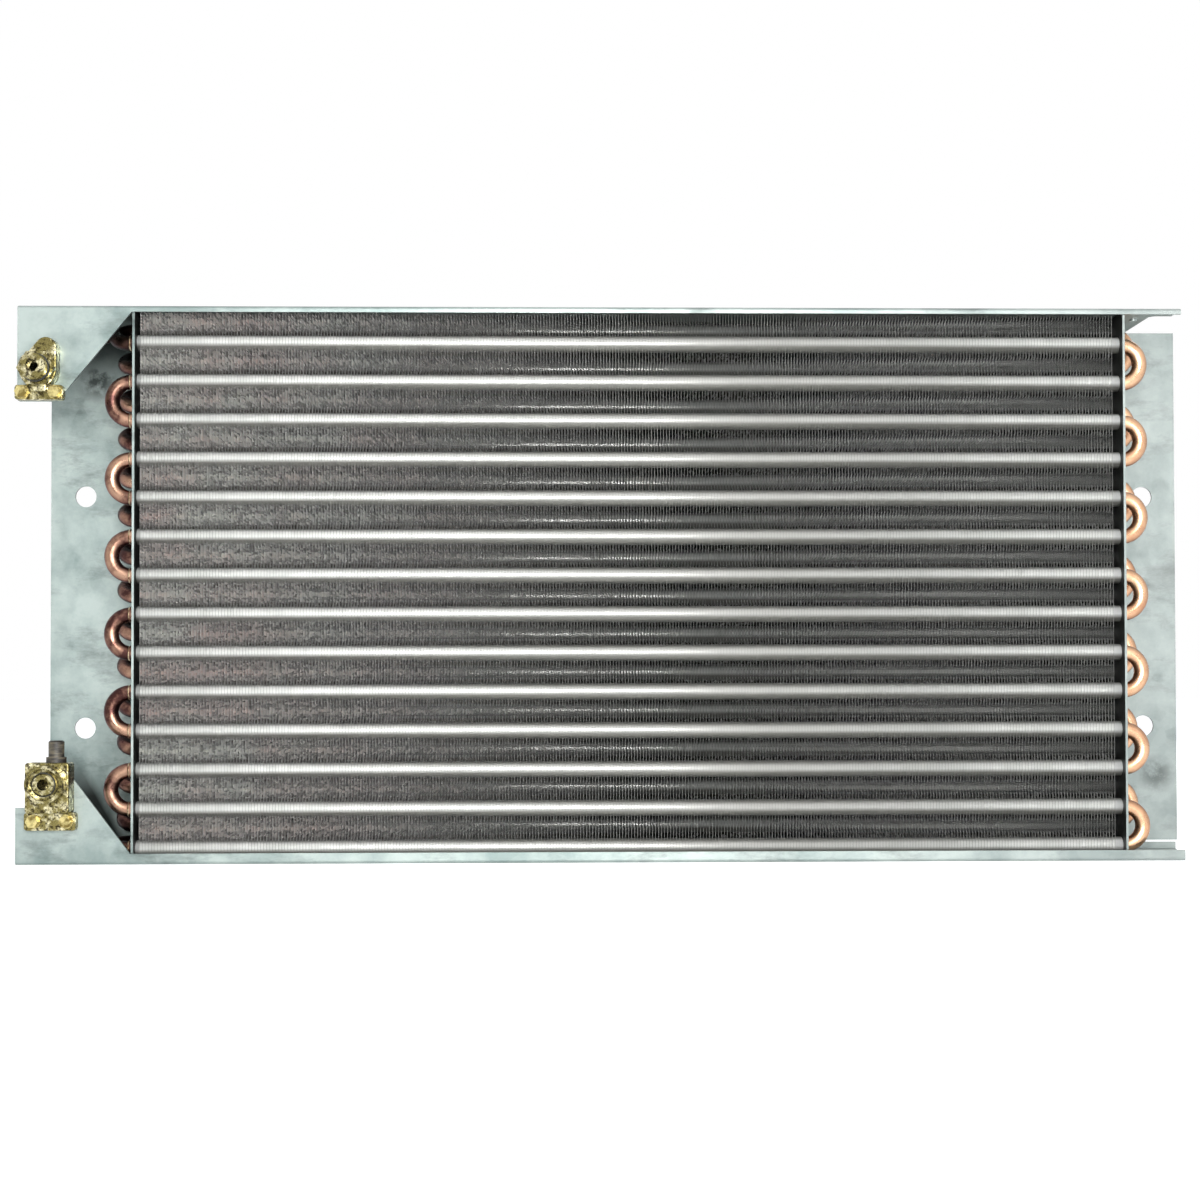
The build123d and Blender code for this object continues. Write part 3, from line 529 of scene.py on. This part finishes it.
@dataclass(frozen=True)
class FinMetal:
    """Thin aluminium fins: clean and mirror-like near both faces, with dust and painted shade deeper in the
    pack.

    Level with the tubes of the middle row the painted shade is left out deep in the pack and the film is
    thicker on the front: a painted light line where those tubes would show.
    A pale speckled film lies on their front at the left, between the lines of the front tubes; at the right
    only the painted light line has it.
    Places are in metres. The two heights are those of the lowest tube of each row.
    """

    front_tube: float
    middle_tube: float
    tube_pitch: float
    clean: Colour = srgb(249, 249, 248)
    cut_edge: Colour = srgb(140, 140, 136)
    # Dust and painted shade: the colour of the fins deep in the pack.
    dust_and_shade: Colour = srgb(66, 66, 60)
    pale_dust_and_shade: Colour = srgb(138, 132, 124)
    # Partly a pale film, partly painted light along the middle row's tube line.
    film_and_painted_light: Colour = srgb(214, 214, 204)
    pink_film_and_painted_light: Colour = srgb(206, 178, 168)
    cloud: Grain = Grain(13.0, (1.0, 1.0, 1.4), detail=5.0, roughness=0.7)
    speckles: float = 1050.0
    speckle_stretch: Point = (1.0, 0.05, 0.65)
    left_end: Slope = Slope(-280.0 * MM, 100.0 * MM, 1.0, 0.0)
    right_part: Band = Band(0.0, 220.0 * MM, 100.0 * MM)
    beside_front_tube: Band = Band(-3.0 * MM, 5.0 * MM, 3.0 * MM)
    # Painted light: the band round the middle row's tube height, and the reach round it where the painted
    # shade is left out.
    faint_line: Band = Band(-0.8 * MM, 0.8 * MM, 1.8 * MM)
    painted_light_line: Slope = Slope(3.0 * MM, 5.0 * MM)
    film_by_line: Slope = Slope(0.0, 1.0, 0.26, 0.44)
    film_by_speckle: Slope = Slope(0.0, 1.0, 0.3, 1.7)
    painted_line_at_right: float = 0.32
    pink_by_cloud: Slope = Slope(0.42, 0.58)
    pale_by_cloud: Slope = Slope(0.2, 0.5, 0.5, 1.0)
    clean_by_speckle: Slope = Slope(0.6, 1.0, 0.0, 0.6)
    # Painted shade with dust: from these depths on the fins darken.
    dust_and_shade_depth: Slope = Slope(-26.0 * MM, -22.0 * MM)
    full_dust_and_shade_depth: Slope = Slope(-10.0 * MM, -4.0 * MM)
    back_depth: Slope = Slope(21.0 * MM, 25.0 * MM, 1.0, 0.0)
    edge_by_facing: Slope = Slope(0.6, 0.8)
    roughness: Slope = Slope(0.0, 1.0, 0.12, 0.72)

    def offset(self, graph: Graph, tube: float) -> Socket:
        """How far the place is above or below the nearest tube of a row.

        Args:
            graph: The material's graph.
            tube: The height of one tube of that row.

        Returns:
            The distance in metres, below zero under the tube.
        """
        lifted = graph.maths(Sum.ADD, graph.along(Axis.Z), self.tube_pitch / 2 - tube)
        inside = graph.maths(Sum.REMAINDER, lifted, self.tube_pitch)
        return graph.maths(Sum.SUBTRACT, inside, self.tube_pitch / 2)

    def film_and_line_share(self, graph: Graph, left: Socket, speckle: Socket) -> Socket:
        """Works out how much of the front is under the pale film, thickened along the painted light line
        level with the middle row's tubes.

        Args:
            graph: The material's graph.
            left: 1 at the left end of the pack, 0 from its middle on.
            speckle: The fine grain, 0 to 1.

        Returns:
            The share, 0 to 1.
        """
        tube = graph.band(self.offset(graph, self.front_tube), self.beside_front_tube)
        line = graph.band(self.offset(graph, self.middle_tube), self.faint_line)
        most = graph.times(graph.ramp(line, self.film_by_line), graph.without(tube))
        at_left = graph.times(left, graph.ramp(speckle, self.film_by_speckle), most)
        right = graph.band(graph.along(Axis.X), self.right_part)
        return graph.largest(at_left, graph.times(right, line, self.painted_line_at_right))

    def in_painted_shade(self, graph: Graph) -> Socket:
        """Works out how much dust and painted shade lies at each depth of the pack.

        Args:
            graph: The material's graph.

        Returns:
            The share, 0 to 1.
        """
        depth = graph.along(Axis.Y)
        beside = graph.unsigned(self.offset(graph, self.middle_tube))
        thin = graph.times(graph.ramp(depth, self.dust_and_shade_depth), graph.ramp(beside, self.painted_light_line))
        thick = graph.largest(thin, graph.ramp(depth, self.full_dust_and_shade_depth))
        return graph.times(thick, graph.ramp(depth, self.back_depth))

    def build(self) -> bpy.types.Material:
        """Makes the material.

        Returns:
            The finished material.
        """
        graph = Graph("fin_aluminium")
        cloud = graph.noise(self.cloud)
        speckle = graph.cells(self.speckles, self.speckle_stretch)
        left = graph.ramp(graph.along(Axis.X), self.left_end)
        pale = graph.times(left, graph.ramp(cloud, self.pale_by_cloud))
        dust_and_shade = graph.mix(pale, self.dust_and_shade, self.pale_dust_and_shade)
        dust_and_shade = graph.mix(graph.ramp(speckle, self.clean_by_speckle), dust_and_shade, self.clean)
        pink = graph.times(left, graph.ramp(cloud, self.pink_by_cloud))
        film_and_painted_light = graph.mix(pink, self.film_and_painted_light, self.pink_film_and_painted_light)
        film_and_line_share = self.film_and_line_share(graph, left, speckle)
        in_painted_shade = self.in_painted_shade(graph)
        edge = graph.ramp(graph.unsigned(graph.facing(Axis.Y)), self.edge_by_facing)
        colour = graph.mix(film_and_line_share, self.clean, film_and_painted_light)
        colour = graph.mix(in_painted_shade, colour, dust_and_shade)
        colour = graph.mix(edge, colour, self.cut_edge)
        matt = graph.largest(in_painted_shade, edge, film_and_line_share)
        return graph.shade(Base_Color=colour, Metallic=graph.without(matt),
                           Roughness=graph.ramp(matt, self.roughness), Specular_IOR_Level=0.0)


@dataclass(frozen=True)
class CollarMetal:
    """The bright aluminium collars that the fins make round each tube, with a painted highlight round the
    crown and painted shade above and below it.

    Those of the front row get painted shade in the middle of the pack.
    """

    bright: Colour = srgb(252, 253, 250)
    dull: Colour = srgb(240, 242, 238)
    # Painted shade on the front row's collars in the middle of the pack, and above and below each crown.
    painted_middle_shade: Colour = srgb(184, 184, 180)
    in_painted_shade: Colour = srgb(132, 132, 126)
    cloud: Grain = Grain(70.0, (1.0, 0.3, 0.3))
    bright_by_cloud: Slope = Slope(0.35, 0.65)
    middle_part: Band = Band(-20.0 * MM, 100.0 * MM, 200.0 * MM)
    front_row: Slope = Slope(-16.0 * MM, 0.0, 1.0, 0.0)
    # The facing height of the painted highlight; faces tilted away from it get painted shade.
    crown: float = 0.20
    painted_shade_by_tilt: Slope = Slope(0.24, 0.62)
    metallic: float = 0.35
    roughness: float = 0.32

    def build(self) -> bpy.types.Material:
        """Makes the material.

        Returns:
            The finished material.
        """
        graph = Graph("collar_aluminium")
        cloud = graph.ramp(graph.noise(self.cloud), self.bright_by_cloud)
        colour = graph.mix(cloud, self.dull, self.bright)
        middle = graph.band(graph.along(Axis.X), self.middle_part)
        row = graph.ramp(graph.along(Axis.Y), self.front_row)
        # Painted shade on the front row in the middle of the pack.
        colour = graph.mix(graph.times(middle, row), colour, self.painted_middle_shade)
        # Painted highlight round the crown's tilt, painted shade away from it.
        tilt = graph.unsigned(graph.maths(Sum.SUBTRACT, graph.facing(Axis.Z), self.crown))
        colour = graph.mix(graph.ramp(tilt, self.painted_shade_by_tilt), colour, self.in_painted_shade)
        return graph.shade(Base_Color=colour, Metallic=self.metallic, Roughness=self.roughness)


@dataclass(frozen=True)
class Copper:
    """Copper tube: pale gold at the right end, wine-dark and stained by heat at the brazed left end, with
    painted shade on faces that look away from the front and back, and at the left end a painted highlight
    on its front and painted shade at top and bottom beside the gussets.
    """

    bright: Colour = srgb(226, 184, 148)
    aged: Colour = srgb(168, 106, 76)
    # Painted shade: the colour of faces that look up, down or sideways.
    rim: Colour = srgb(104, 58, 40)
    wine: Colour = srgb(108, 60, 58)
    burnt: Colour = srgb(52, 24, 28)
    # Painted highlight on the front of the brazed end.
    painted_highlight: Colour = srgb(200, 166, 138)
    # Painted shade at the top and bottom of the brazed end, beside the gussets.
    painted_shade: Colour = srgb(30, 18, 18)
    cloud: Grain = Grain(55.0, detail=5.0, roughness=0.62)
    fine: Grain = Grain(160.0, detail=4.0, roughness=0.6)
    frontal: Slope = Slope(0.45, 0.92)
    heated_end: Slope = Slope(-300.0 * MM, -322.0 * MM)
    aged_by_cloud: Slope = Slope(0.42, 0.68, 0.0, 0.6)
    painted_rim_shade_by_frontal: Slope = Slope(0.0, 1.0, 0.8, 0.0)
    burnt_by_cloud: Slope = Slope(0.38, 0.62)
    painted_highlight_by_cloud: Slope = Slope(0.40, 0.60, 0.60, 0.05)
    # Painted shade: the heights where it covers the brazed end, beside the gussets.
    painted_shade_at_top: Slope = Slope(320.0 * MM, 334.0 * MM, 0.0, 0.85)
    painted_shade_at_bottom: Slope = Slope(22.0 * MM, 36.0 * MM, 0.7, 0.0)
    roughness: Slope = Slope(0.3, 0.7, 0.20, 0.42)
    relief: Relief = Relief(0.12, 0.3 * MM)

    def heated(self, graph: Graph, cloud: Socket, frontal: Socket) -> Socket:
        """Works out the colour of the brazed end, with a painted highlight on its front and painted shade
        beside both gussets.

        Args:
            graph: The material's graph.
            cloud: The soft noise.
            frontal: How far the surface faces the front or the back, 0 to 1.

        Returns:
            The colour.
        """
        colour = graph.mix(graph.ramp(cloud, self.burnt_by_cloud), self.wine, self.burnt)
        # Painted highlight on the faces that look to the front or back.
        painted_highlight = graph.times(frontal, graph.ramp(cloud, self.painted_highlight_by_cloud))
        colour = graph.mix(painted_highlight, colour, self.painted_highlight)
        # Painted shade at the top and bottom, beside the gussets.
        height = graph.along(Axis.Z)
        painted_shade_share = graph.largest(graph.ramp(height, self.painted_shade_at_top), graph.ramp(height, self.painted_shade_at_bottom))
        return graph.mix(painted_shade_share, colour, self.painted_shade)

    def build(self) -> bpy.types.Material:
        """Makes the material.

        Returns:
            The finished material.
        """
        graph = Graph("copper")
        cloud = graph.noise(self.cloud)
        fine = graph.noise(self.fine)
        frontal = graph.ramp(graph.unsigned(graph.facing(Axis.Y)), self.frontal)
        bare = graph.mix(graph.ramp(cloud, self.aged_by_cloud), self.bright, self.aged)
        # Painted shade rim: faces that don't look to the front or back darken.
        bare = graph.mix(graph.ramp(frontal, self.painted_rim_shade_by_frontal), bare, self.rim)
        left = graph.ramp(graph.along(Axis.X), self.heated_end)
        colour = graph.mix(left, bare, self.heated(graph, cloud, frontal))
        graph.raised(fine, self.relief)
        return graph.shade(Base_Color=colour, Metallic=1.0, Roughness=graph.ramp(fine, self.roughness))


@dataclass(frozen=True)
class Brass:
    """Forged and machined brass: bright yellow with olive and brown patches, with painted shade in the
    outlet's bore.
    """

    bore: Point
    bright: Colour = srgb(234, 226, 186)
    olive: Colour = srgb(126, 117, 72)
    brown: Colour = srgb(38, 31, 22)
    # Painted shade: the colour inside the outlet's bore.
    painted_bore_shade: Colour = srgb(20, 17, 13)
    cloud: Grain = Grain(150.0, detail=5.0, roughness=0.6)
    fine: Grain = Grain(420.0, detail=4.0, roughness=0.6)
    olive_by_cloud: Slope = Slope(0.38, 0.52)
    brown_by_fine: Slope = Slope(0.49, 0.60, 0.0, 0.9)
    painted_bore_shade_by_distance: Slope = Slope(2.9 * MM, 3.7 * MM, 0.92, 0.0)
    roughness: Slope = Slope(0.3, 0.7, 0.18, 0.42)
    relief: Relief = Relief(0.45, 0.6 * MM)

    def build(self) -> bpy.types.Material:
        """Makes the material.

        Returns:
            The finished material.
        """
        graph = Graph("brass")
        cloud = graph.noise(self.cloud)
        fine = graph.noise(self.fine)
        colour = graph.mix(graph.ramp(cloud, self.olive_by_cloud), self.bright, self.olive)
        colour = graph.mix(graph.ramp(fine, self.brown_by_fine), colour, self.brown)
        # Painted shade in the bore, round its axis.
        bore_shade_share = graph.ramp(graph.around(self.bore), self.painted_bore_shade_by_distance)
        colour = graph.mix(bore_shade_share, colour, self.painted_bore_shade)
        graph.raised(cloud, self.relief)
        return graph.shade(Base_Color=colour, Metallic=1.0, Roughness=graph.ramp(fine, self.roughness))


@dataclass(frozen=True)
class Solder:
    """The silvery filler that has run round each brazed joint."""

    silver: Colour = srgb(214, 196, 160)
    dark: Colour = srgb(120, 84, 60)
    cloud: Grain = Grain(220.0, detail=4.0)
    dark_by_cloud: Slope = Slope(0.42, 0.6)
    metallic: float = 0.9
    roughness: float = 0.38
    relief: Relief = Relief(0.5, 0.4 * MM)

    def build(self) -> bpy.types.Material:
        """Makes the material.

        Returns:
            The finished material.
        """
        graph = Graph("braze_filler")
        cloud = graph.noise(self.cloud)
        colour = graph.mix(graph.ramp(cloud, self.dark_by_cloud), self.silver, self.dark)
        graph.raised(cloud, self.relief)
        return graph.shade(Base_Color=colour, Metallic=self.metallic, Roughness=self.roughness)


@dataclass(frozen=True)
class PlatedMetal:
    """Rivets, screws, nuts and rings with a thin plating of one tone that shades into a darker one."""

    name: str
    pale: Colour
    dark: Colour
    cloud: Grain = Grain(260.0, detail=4.0)
    dark_by_cloud: Slope = Slope(0.4, 0.62)
    metallic: float = 0.95
    roughness: Slope = Slope(0.3, 0.7, 0.26, 0.44)
    relief: Relief = Relief(0.15, 0.2 * MM)

    def build(self) -> bpy.types.Material:
        """Makes the material.

        Returns:
            The finished material.
        """
        graph = Graph(self.name)
        cloud = graph.noise(self.cloud)
        colour = graph.mix(graph.ramp(cloud, self.dark_by_cloud), self.pale, self.dark)
        graph.raised(cloud, self.relief)
        rough = graph.ramp(cloud, self.roughness)
        return graph.shade(Base_Color=colour, Metallic=self.metallic, Roughness=rough)


@dataclass(frozen=True)
class DarkPlastic:
    """The moulded cap over the charge port, worn in bands."""

    face: Colour = srgb(32, 28, 23)
    worn: Colour = srgb(92, 85, 70)
    bands: Grain = Grain(420.0, (0.25, 0.25, 1.0))
    worn_by_bands: Slope = Slope(0.44, 0.60)
    roughness: float = 0.48
    relief: Relief = Relief(0.2, 0.2 * MM)

    def build(self) -> bpy.types.Material:
        """Makes the material.

        Returns:
            The finished material.
        """
        graph = Graph("cap_plastic")
        bands = graph.noise(self.bands)
        colour = graph.mix(graph.ramp(bands, self.worn_by_bands), self.face, self.worn)
        graph.raised(bands, self.relief)
        return graph.shade(Base_Color=colour, Metallic=0.0, Roughness=self.roughness)


@dataclass(frozen=True)
class Rubber:
    """The black rings that seal the two ports."""

    black: Colour = srgb(30, 31, 29)
    grey: Colour = srgb(52, 53, 50)
    cloud: Grain = Grain(300.0)
    grey_by_cloud: Slope = Slope(0.4, 0.65)
    roughness: float = 0.55

    def build(self) -> bpy.types.Material:
        """Makes the material.

        Returns:
            The finished material.
        """
        graph = Graph("seal_rubber")
        colour = graph.mix(graph.ramp(graph.noise(self.cloud), self.grey_by_cloud), self.black, self.grey)
        return graph.shade(Base_Color=colour, Metallic=0.0, Roughness=self.roughness)


def dress(material: bpy.types.Material, *nodes: str) -> None:
    """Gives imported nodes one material.

    Args:
        material: The material.
        nodes: The nodes' names.
    """
    for name in nodes:
        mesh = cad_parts[name].data
        mesh.materials.clear()
        mesh.materials.append(material)
        LOG.info("%s wears %s", name, material.name)


def new_piece(name: str, build: Callable[[bmesh.types.BMesh], None], material: bpy.types.Material,
              smooth: bool) -> bpy.types.Object:
    """Makes a piece of the object from mesh code and puts it on the body.

    Args:
        name: The piece's name.
        build: A function that fills the mesh.
        material: Its material.
        smooth: Whether its faces are shaded as one round surface.

    Returns:
        The new object.
    """
    shape = bmesh.new()
    build(shape)
    bmesh.ops.recalc_face_normals(shape, faces=shape.faces)
    mesh = bpy.data.meshes.new(name)
    shape.to_mesh(mesh)
    shape.free()
    mesh.materials.append(material)
    if smooth:
        mesh.shade_smooth()
    made = bpy.data.objects.new(name, mesh)
    bpy.context.scene.collection.objects.link(made)
    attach(made, "root")
    LOG.info("%s: %d faces", name, len(mesh.polygons))
    return made


def add_ring(shape: bmesh.types.BMesh, profile: Sequence[tuple[float, float]], centre: Point,
             sides: int) -> None:
    """Adds a closed ring round a line along X.

    Args:
        shape: The mesh to add to.
        profile: Points of the section, each a place along X and a radius.
        centre: Where the ring's middle is.
        sides: How many facets go round.
    """
    rows = []
    for turn in range(sides):
        angle = 2 * math.pi * turn / sides
        across, up = math.sin(angle), math.cos(angle)
        rows.append([
            shape.verts.new((centre[0] + x, centre[1] + radius * across, centre[2] + radius * up))
            for x, radius in profile
        ])
    for row, following in zip(rows, rows[1:] + rows[:1]):
        for index in range(len(profile)):
            other = (index + 1) % len(profile)
            shape.faces.new((row[index], row[other], following[other], following[index]))


@dataclass
class TubeField:
    """Where the tubes run through the pack. Lengths are in metres.

    A stagger is how far a row's lowest tube lies above the pack's foot, as a share of the pitch.
    """

    pitch: float = INCH
    row_pitch: float = 22.0 * MM
    high: int = 14
    outer_stagger: float = 0.25
    middle_stagger: float = 0.75
    diameter: float = 9.525 * MM

    @property
    def radius(self) -> float:
        """A tube's outer radius."""
        return self.diameter / 2

    def depth(self, row: Row) -> float:
        """The place of a row along Y."""
        return (row.value - Row.MIDDLE.value) * self.row_pitch

    def height(self, row: Row, step: int = 0) -> float:
        """The place of a tube along Z, with steps counted from 0 at the bottom of its row."""
        stagger = self.middle_stagger if row is Row.MIDDLE else self.outer_stagger
        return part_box("fin_pack")[0].z + (step + stagger) * self.pitch

    def places(self) -> list[tuple[float, float]]:
        """Every tube's place along Y and Z."""
        return [(self.depth(row), self.height(row, step)) for row in Row for step in range(self.high)]


@dataclass
class FinPack:
    """The stack of thin fins and the collars that they make round the tubes. Lengths are in metres."""

    tubes: TubeField
    fins_per_inch: int = 13
    thickness: float = 0.15 * MM
    front_flat: float = 27.0 * MM
    back_flat: float = 9.0 * MM
    fold_length: float = 5.0 * MM
    fold_depth: float = 1.05 * MM
    front_setback: float = 2.0 * MM
    comb_over: float = 2.2 * MM
    heights: int = 7
    edge_bend: float = 0.10 * MM
    collar_wall: float = 0.6 * MM
    collar_sides: int = 20
    seed: int = 12

    def fold_line(self, front: float, back: float) -> list[tuple[float, float]]:
        """The section of one fin: flat near both edges, folded to and fro between, its front combed over.

        Args:
            front: The front edge's place along Y.
            back: The back edge's.

        Returns:
            Points, each a place along Y and a shift along X.
        """
        points = [(front + self.front_setback, -self.comb_over), (front + self.front_flat, 0.0)]
        folds = round((back - front - self.front_flat - self.back_flat) / self.fold_length)
        for fold in range(1, folds):
            shift = self.fold_depth if fold % 2 else -self.fold_depth
            points.append((front + self.front_flat + fold * self.fold_length, shift))
        return points + [(back - self.back_flat, 0.0), (back, 0.0)]

    def fins(self, shape: bmesh.types.BMesh) -> None:
        """Fills a mesh with all the fins.

        Args:
            shape: The mesh.
        """
        low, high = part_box("fin_pack")
        dice = random.Random(self.seed)
        line = self.fold_line(low.y, high.y)
        pitch = INCH / self.fins_per_inch
        play = self.thickness + self.edge_bend
        left, right = low.x + play + self.comb_over, high.x - play - self.fold_depth
        count = int((right - left) / pitch)
        first = (left + right - count * pitch) / 2
        for number in range(count + 1):
            lean = [dice.uniform(-self.edge_bend, self.edge_bend) for _ in range(self.heights)]
            self.fin(shape, first + number * pitch, line, (low.z, high.z), lean)

    def fin(self, shape: bmesh.types.BMesh, middle: float, line: Sequence[tuple[float, float]],
            span: tuple[float, float], lean: Sequence[float]) -> None:
        """Adds one fin, a thin closed plate.

        Args:
            shape: The mesh to add to.
            middle: The fin's place along X.
            line: Its section, from fold_line.
            span: Its lower and upper end.
            lean: How far its front edge is bent at each height.
        """
        sides = []
        for face in (-self.thickness / 2, self.thickness / 2):
            grid = []
            for step, bend in enumerate(lean):
                z = span[0] + (span[1] - span[0]) * step / (self.heights - 1)
                grid.append([
                    shape.verts.new((middle + face + shift + (bend if index == 0 else 0.0), y, z))
                    for index, (y, shift) in enumerate(line)
                ])
            sides.append(grid)
        for grid in sides:
            for lower, upper in zip(grid, grid[1:]):
                for index in range(len(line) - 1):
                    shape.faces.new((lower[index], lower[index + 1], upper[index + 1], upper[index]))
        left, right = sides
        for step in range(self.heights - 1):
            for column in (0, -1):
                shape.faces.new((left[step][column], left[step + 1][column],
                                 right[step + 1][column], right[step][column]))
        for row in (0, -1):
            for index in range(len(line) - 1):
                shape.faces.new((left[row][index], left[row][index + 1],
                                 right[row][index + 1], right[row][index]))

    def collars(self, shape: bmesh.types.BMesh) -> None:
        """Fills a mesh with the collars, one sleeve for each tube.

        Args:
            shape: The mesh.
        """
        left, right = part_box("left_tube_sheet")[1].x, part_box("right_tube_sheet")[0].x
        inner, outer = self.tubes.radius, self.tubes.radius + self.collar_wall
        profile = [(left, inner), (left, outer), (right, outer), (right, inner)]
        for y, z in self.tubes.places():
            add_ring(shape, profile, (0.0, y, z), self.collar_sides)

    def build(self) -> None:
        """Makes the fins in place of the plain block, and the collars."""
        metal = FinMetal(self.tubes.height(Row.FRONT), self.tubes.height(Row.MIDDLE), self.tubes.pitch)
        fins = new_piece("fins", self.fins, metal.build(), smooth=False)
        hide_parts("fin_pack")
        collars = new_piece("fin_collars", self.collars, CollarMetal().build(), smooth=True)


@dataclass
class TubeCircuit:
    """The copper hairpins, return bends and feed tubes, with filler at the brazed joints.

    A fillet's waist and rises are shares of its length.
    """

    tubes: TubeField
    fillet: float = 1.1 * MM
    fillet_waist: float = 0.35
    waist_rise: float = 0.3
    mouth_rise: float = 0.45
    fillet_sides: int = 28

    def fillets(self, shape: bmesh.types.BMesh) -> None:
        """Fills a mesh with the rings of filler at the mouths of the bells.

        Args:
            shape: The mesh.
        """
        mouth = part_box("hairpin_tubes_front")[0].x
        radius = self.tubes.radius
        waist = (-self.fillet * self.fillet_waist, radius + self.fillet * self.waist_rise)
        rim = (0.0, radius + self.fillet * self.mouth_rise)
        profile = [(0.0, radius), (-self.fillet, radius), waist, rim]
        for y, z in self.tubes.places():
            add_ring(shape, profile, (mouth, y, z), self.fillet_sides)

    def build(self) -> None:
        """Dresses the tubes and adds the filler."""
        dress(Copper().build(), "hairpin_tubes_front", "hairpin_tubes_middle", "hairpin_tubes_rear",
              "front_return_bends", "diagonal_return_bends", "inlet_branch_bend", "inlet_feed_tube",
              "outlet_branch_bend", "outlet_feed_tube")
        filler = new_piece("braze_fillets", self.fillets, Solder().build(), smooth=True)


@dataclass
class Casing:
    """The rails, tube sheets and rivets."""

    rails: Galvanised = Galvanised()
    sheets: SheetZinc = SheetZinc()
    rivets: PlatedMetal = PlatedMetal("rivet_aluminium", srgb(206, 212, 210), srgb(168, 176, 174))

    def build(self) -> None:
        """Dresses the sheet metal."""
        dress(self.rails.build(), "top_rail", "bottom_rail")
        dress(self.sheets.build(), "left_tube_sheet", "right_tube_sheet")
        dress(self.rivets.build(), "top_rail_rivets", "bottom_rail_rivets")


@dataclass
class LineFittings:
    """The inlet and outlet fittings with their screws, seals and charge port."""

    screws: PlatedMetal = PlatedMetal("plated_steel", srgb(206, 192, 132), srgb(110, 96, 52))
    seals: Rubber = Rubber()
    cap: DarkPlastic = DarkPlastic()

    def build(self) -> None:
        """Dresses the fittings."""
        low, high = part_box("outlet_coupling_collar")
        bore = ((low.x + high.x) / 2, 0.0, (low.z + high.z) / 2)
        dress(Brass(bore).build(), "inlet_fitting_body", "outlet_fitting_body", "outlet_coupling_collar",
              "outlet_check_valve", "charge_port_stem", "charge_valve_core")
        dress(self.screws.build(), "inlet_fitting_screws", "outlet_fitting_screws", "fitting_screw_nuts",
              "collar_snap_ring")
        dress(self.seals.build(), "inlet_o_ring", "outlet_o_ring")
        dress(self.cap.build(), "charge_port_cap")


@dataclass(frozen=True)
class SoftBox:
    """A soft box of the studio: its name, place, width and height in metres, and power in watts."""

    name: str
    place: Point
    size: tuple[float, float]
    power: float


@dataclass
class Studio:
    """The floor, the soft lights and the camera. Lengths are in metres and angles in radians."""

    camera_place: Point = (-0.04721, -1.0968, 0.1128)
    camera_yaw: float = 0.01953
    camera_pitch: float = 0.01837
    camera_roll: float = 0.00182
    lens: float = 49.13
    sensor: float = 36.0
    shift: tuple[float, float] = (0.00698, 0.04883)
    floor_size: float = 30.0
    floor_tone: Colour = (0.86, 0.86, 0.86)
    floor_roughness: float = 0.9
    floor_lift: float = 0.6
    room_tone: Colour = srgb(246, 250, 255)
    room_light: float = 0.52
    aim: Point = (-0.01, 0.0, 0.18)
    lamps: tuple[SoftBox, ...] = (
        SoftBox("near_front", (0.06, -1.3, 0.36), (0.8, 0.6), 20.0),
        SoftBox("front_high", (-0.5, -1.9, 1.7), (2.4, 1.2), 5.0),
        SoftBox("front_right", (1.7, -1.6, 0.9), (1.4, 1.4), 2.5),
        SoftBox("rear_high", (0.6, 1.9, 1.4), (2.2, 1.2), 14.0),
    )

    def world(self) -> None:
        """A plain room: white where the camera and reflections see it, and softer as a light."""
        world = bpy.data.worlds.new("studio")
        bpy.context.scene.world = world
        world.use_nodes = True
        tree = Tree(world.node_tree)
        room = tree.node("Background", Color=self.room_tone, Strength=self.room_light)
        white = tree.node("Background", Color=WHITE, Strength=1.0)
        both = tree.node("MixShader", Fac=tree.seen())
        tree.feed(both.inputs[1], room.outputs["Background"])
        tree.feed(both.inputs[2], white.outputs["Background"])
        tree.node("OutputWorld", Surface=both.outputs["Shader"])

    def floor(self) -> None:
        """A wide pale floor that keeps a soft shadow."""
        bpy.ops.mesh.primitive_plane_add(size=self.floor_size, location=(0, 0, 0))
        plane = bpy.context.object
        plane.name = "floor"
        graph = Graph("floor_white")
        graph.shade(Base_Color=self.floor_tone, Roughness=self.floor_roughness)
        glow = graph.node("Emission", Color=WHITE, Strength=graph.times(graph.seen(), self.floor_lift))
        both = graph.node("AddShader")
        graph.feed(both.inputs[0], graph.surface.outputs["BSDF"])
        graph.feed(both.inputs[1], glow.outputs["Emission"])
        graph.feed(graph.output.inputs["Surface"], both.outputs["Shader"])
        plane.data.materials.append(graph.material)

    def hang(self, box: SoftBox) -> None:
        """Adds a soft box that points at the object.

        Args:
            box: The soft box.
        """
        lamp = bpy.data.lights.new(box.name, "AREA")
        lamp.shape = "RECTANGLE"
        lamp.size, lamp.size_y = box.size
        lamp.energy = box.power
        made = bpy.data.objects.new(box.name, lamp)
        made.location = box.place
        made.rotation_euler = (Vector(self.aim) - Vector(box.place)).to_track_quat("-Z", "Y").to_euler()
        bpy.context.scene.collection.objects.link(made)

    def camera(self) -> None:
        """The camera at the place that the tube lines and flange holes give."""
        lens = bpy.data.cameras.new("camera")
        lens.lens, lens.sensor_width = self.lens, self.sensor
        lens.shift_x, lens.shift_y = self.shift
        made = bpy.data.objects.new("camera", lens)
        made.location = self.camera_place
        made.rotation_euler = (math.pi / 2 + self.camera_pitch, self.camera_roll, -self.camera_yaw)
        bpy.context.scene.collection.objects.link(made)
        bpy.context.scene.camera = made

    def build(self) -> None:
        """Sets the stage."""
        bpy.context.scene.view_settings.view_transform = "Standard"
        self.world()
        self.floor()
        for box in self.lamps:
            self.hang(box)
        self.camera()


def main() -> None:
    """Builds the dressed condenser and its stage."""
    logging.basicConfig(level=logging.INFO, format="%(name)s: %(message)s")
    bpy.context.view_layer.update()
    tubes = TubeField()
    for part in (Casing(), TubeCircuit(tubes), FinPack(tubes), LineFittings(), Studio()):
        LOG.info("building %s", type(part).__name__)
        part.build()


if __name__ == "__main__":
    main()
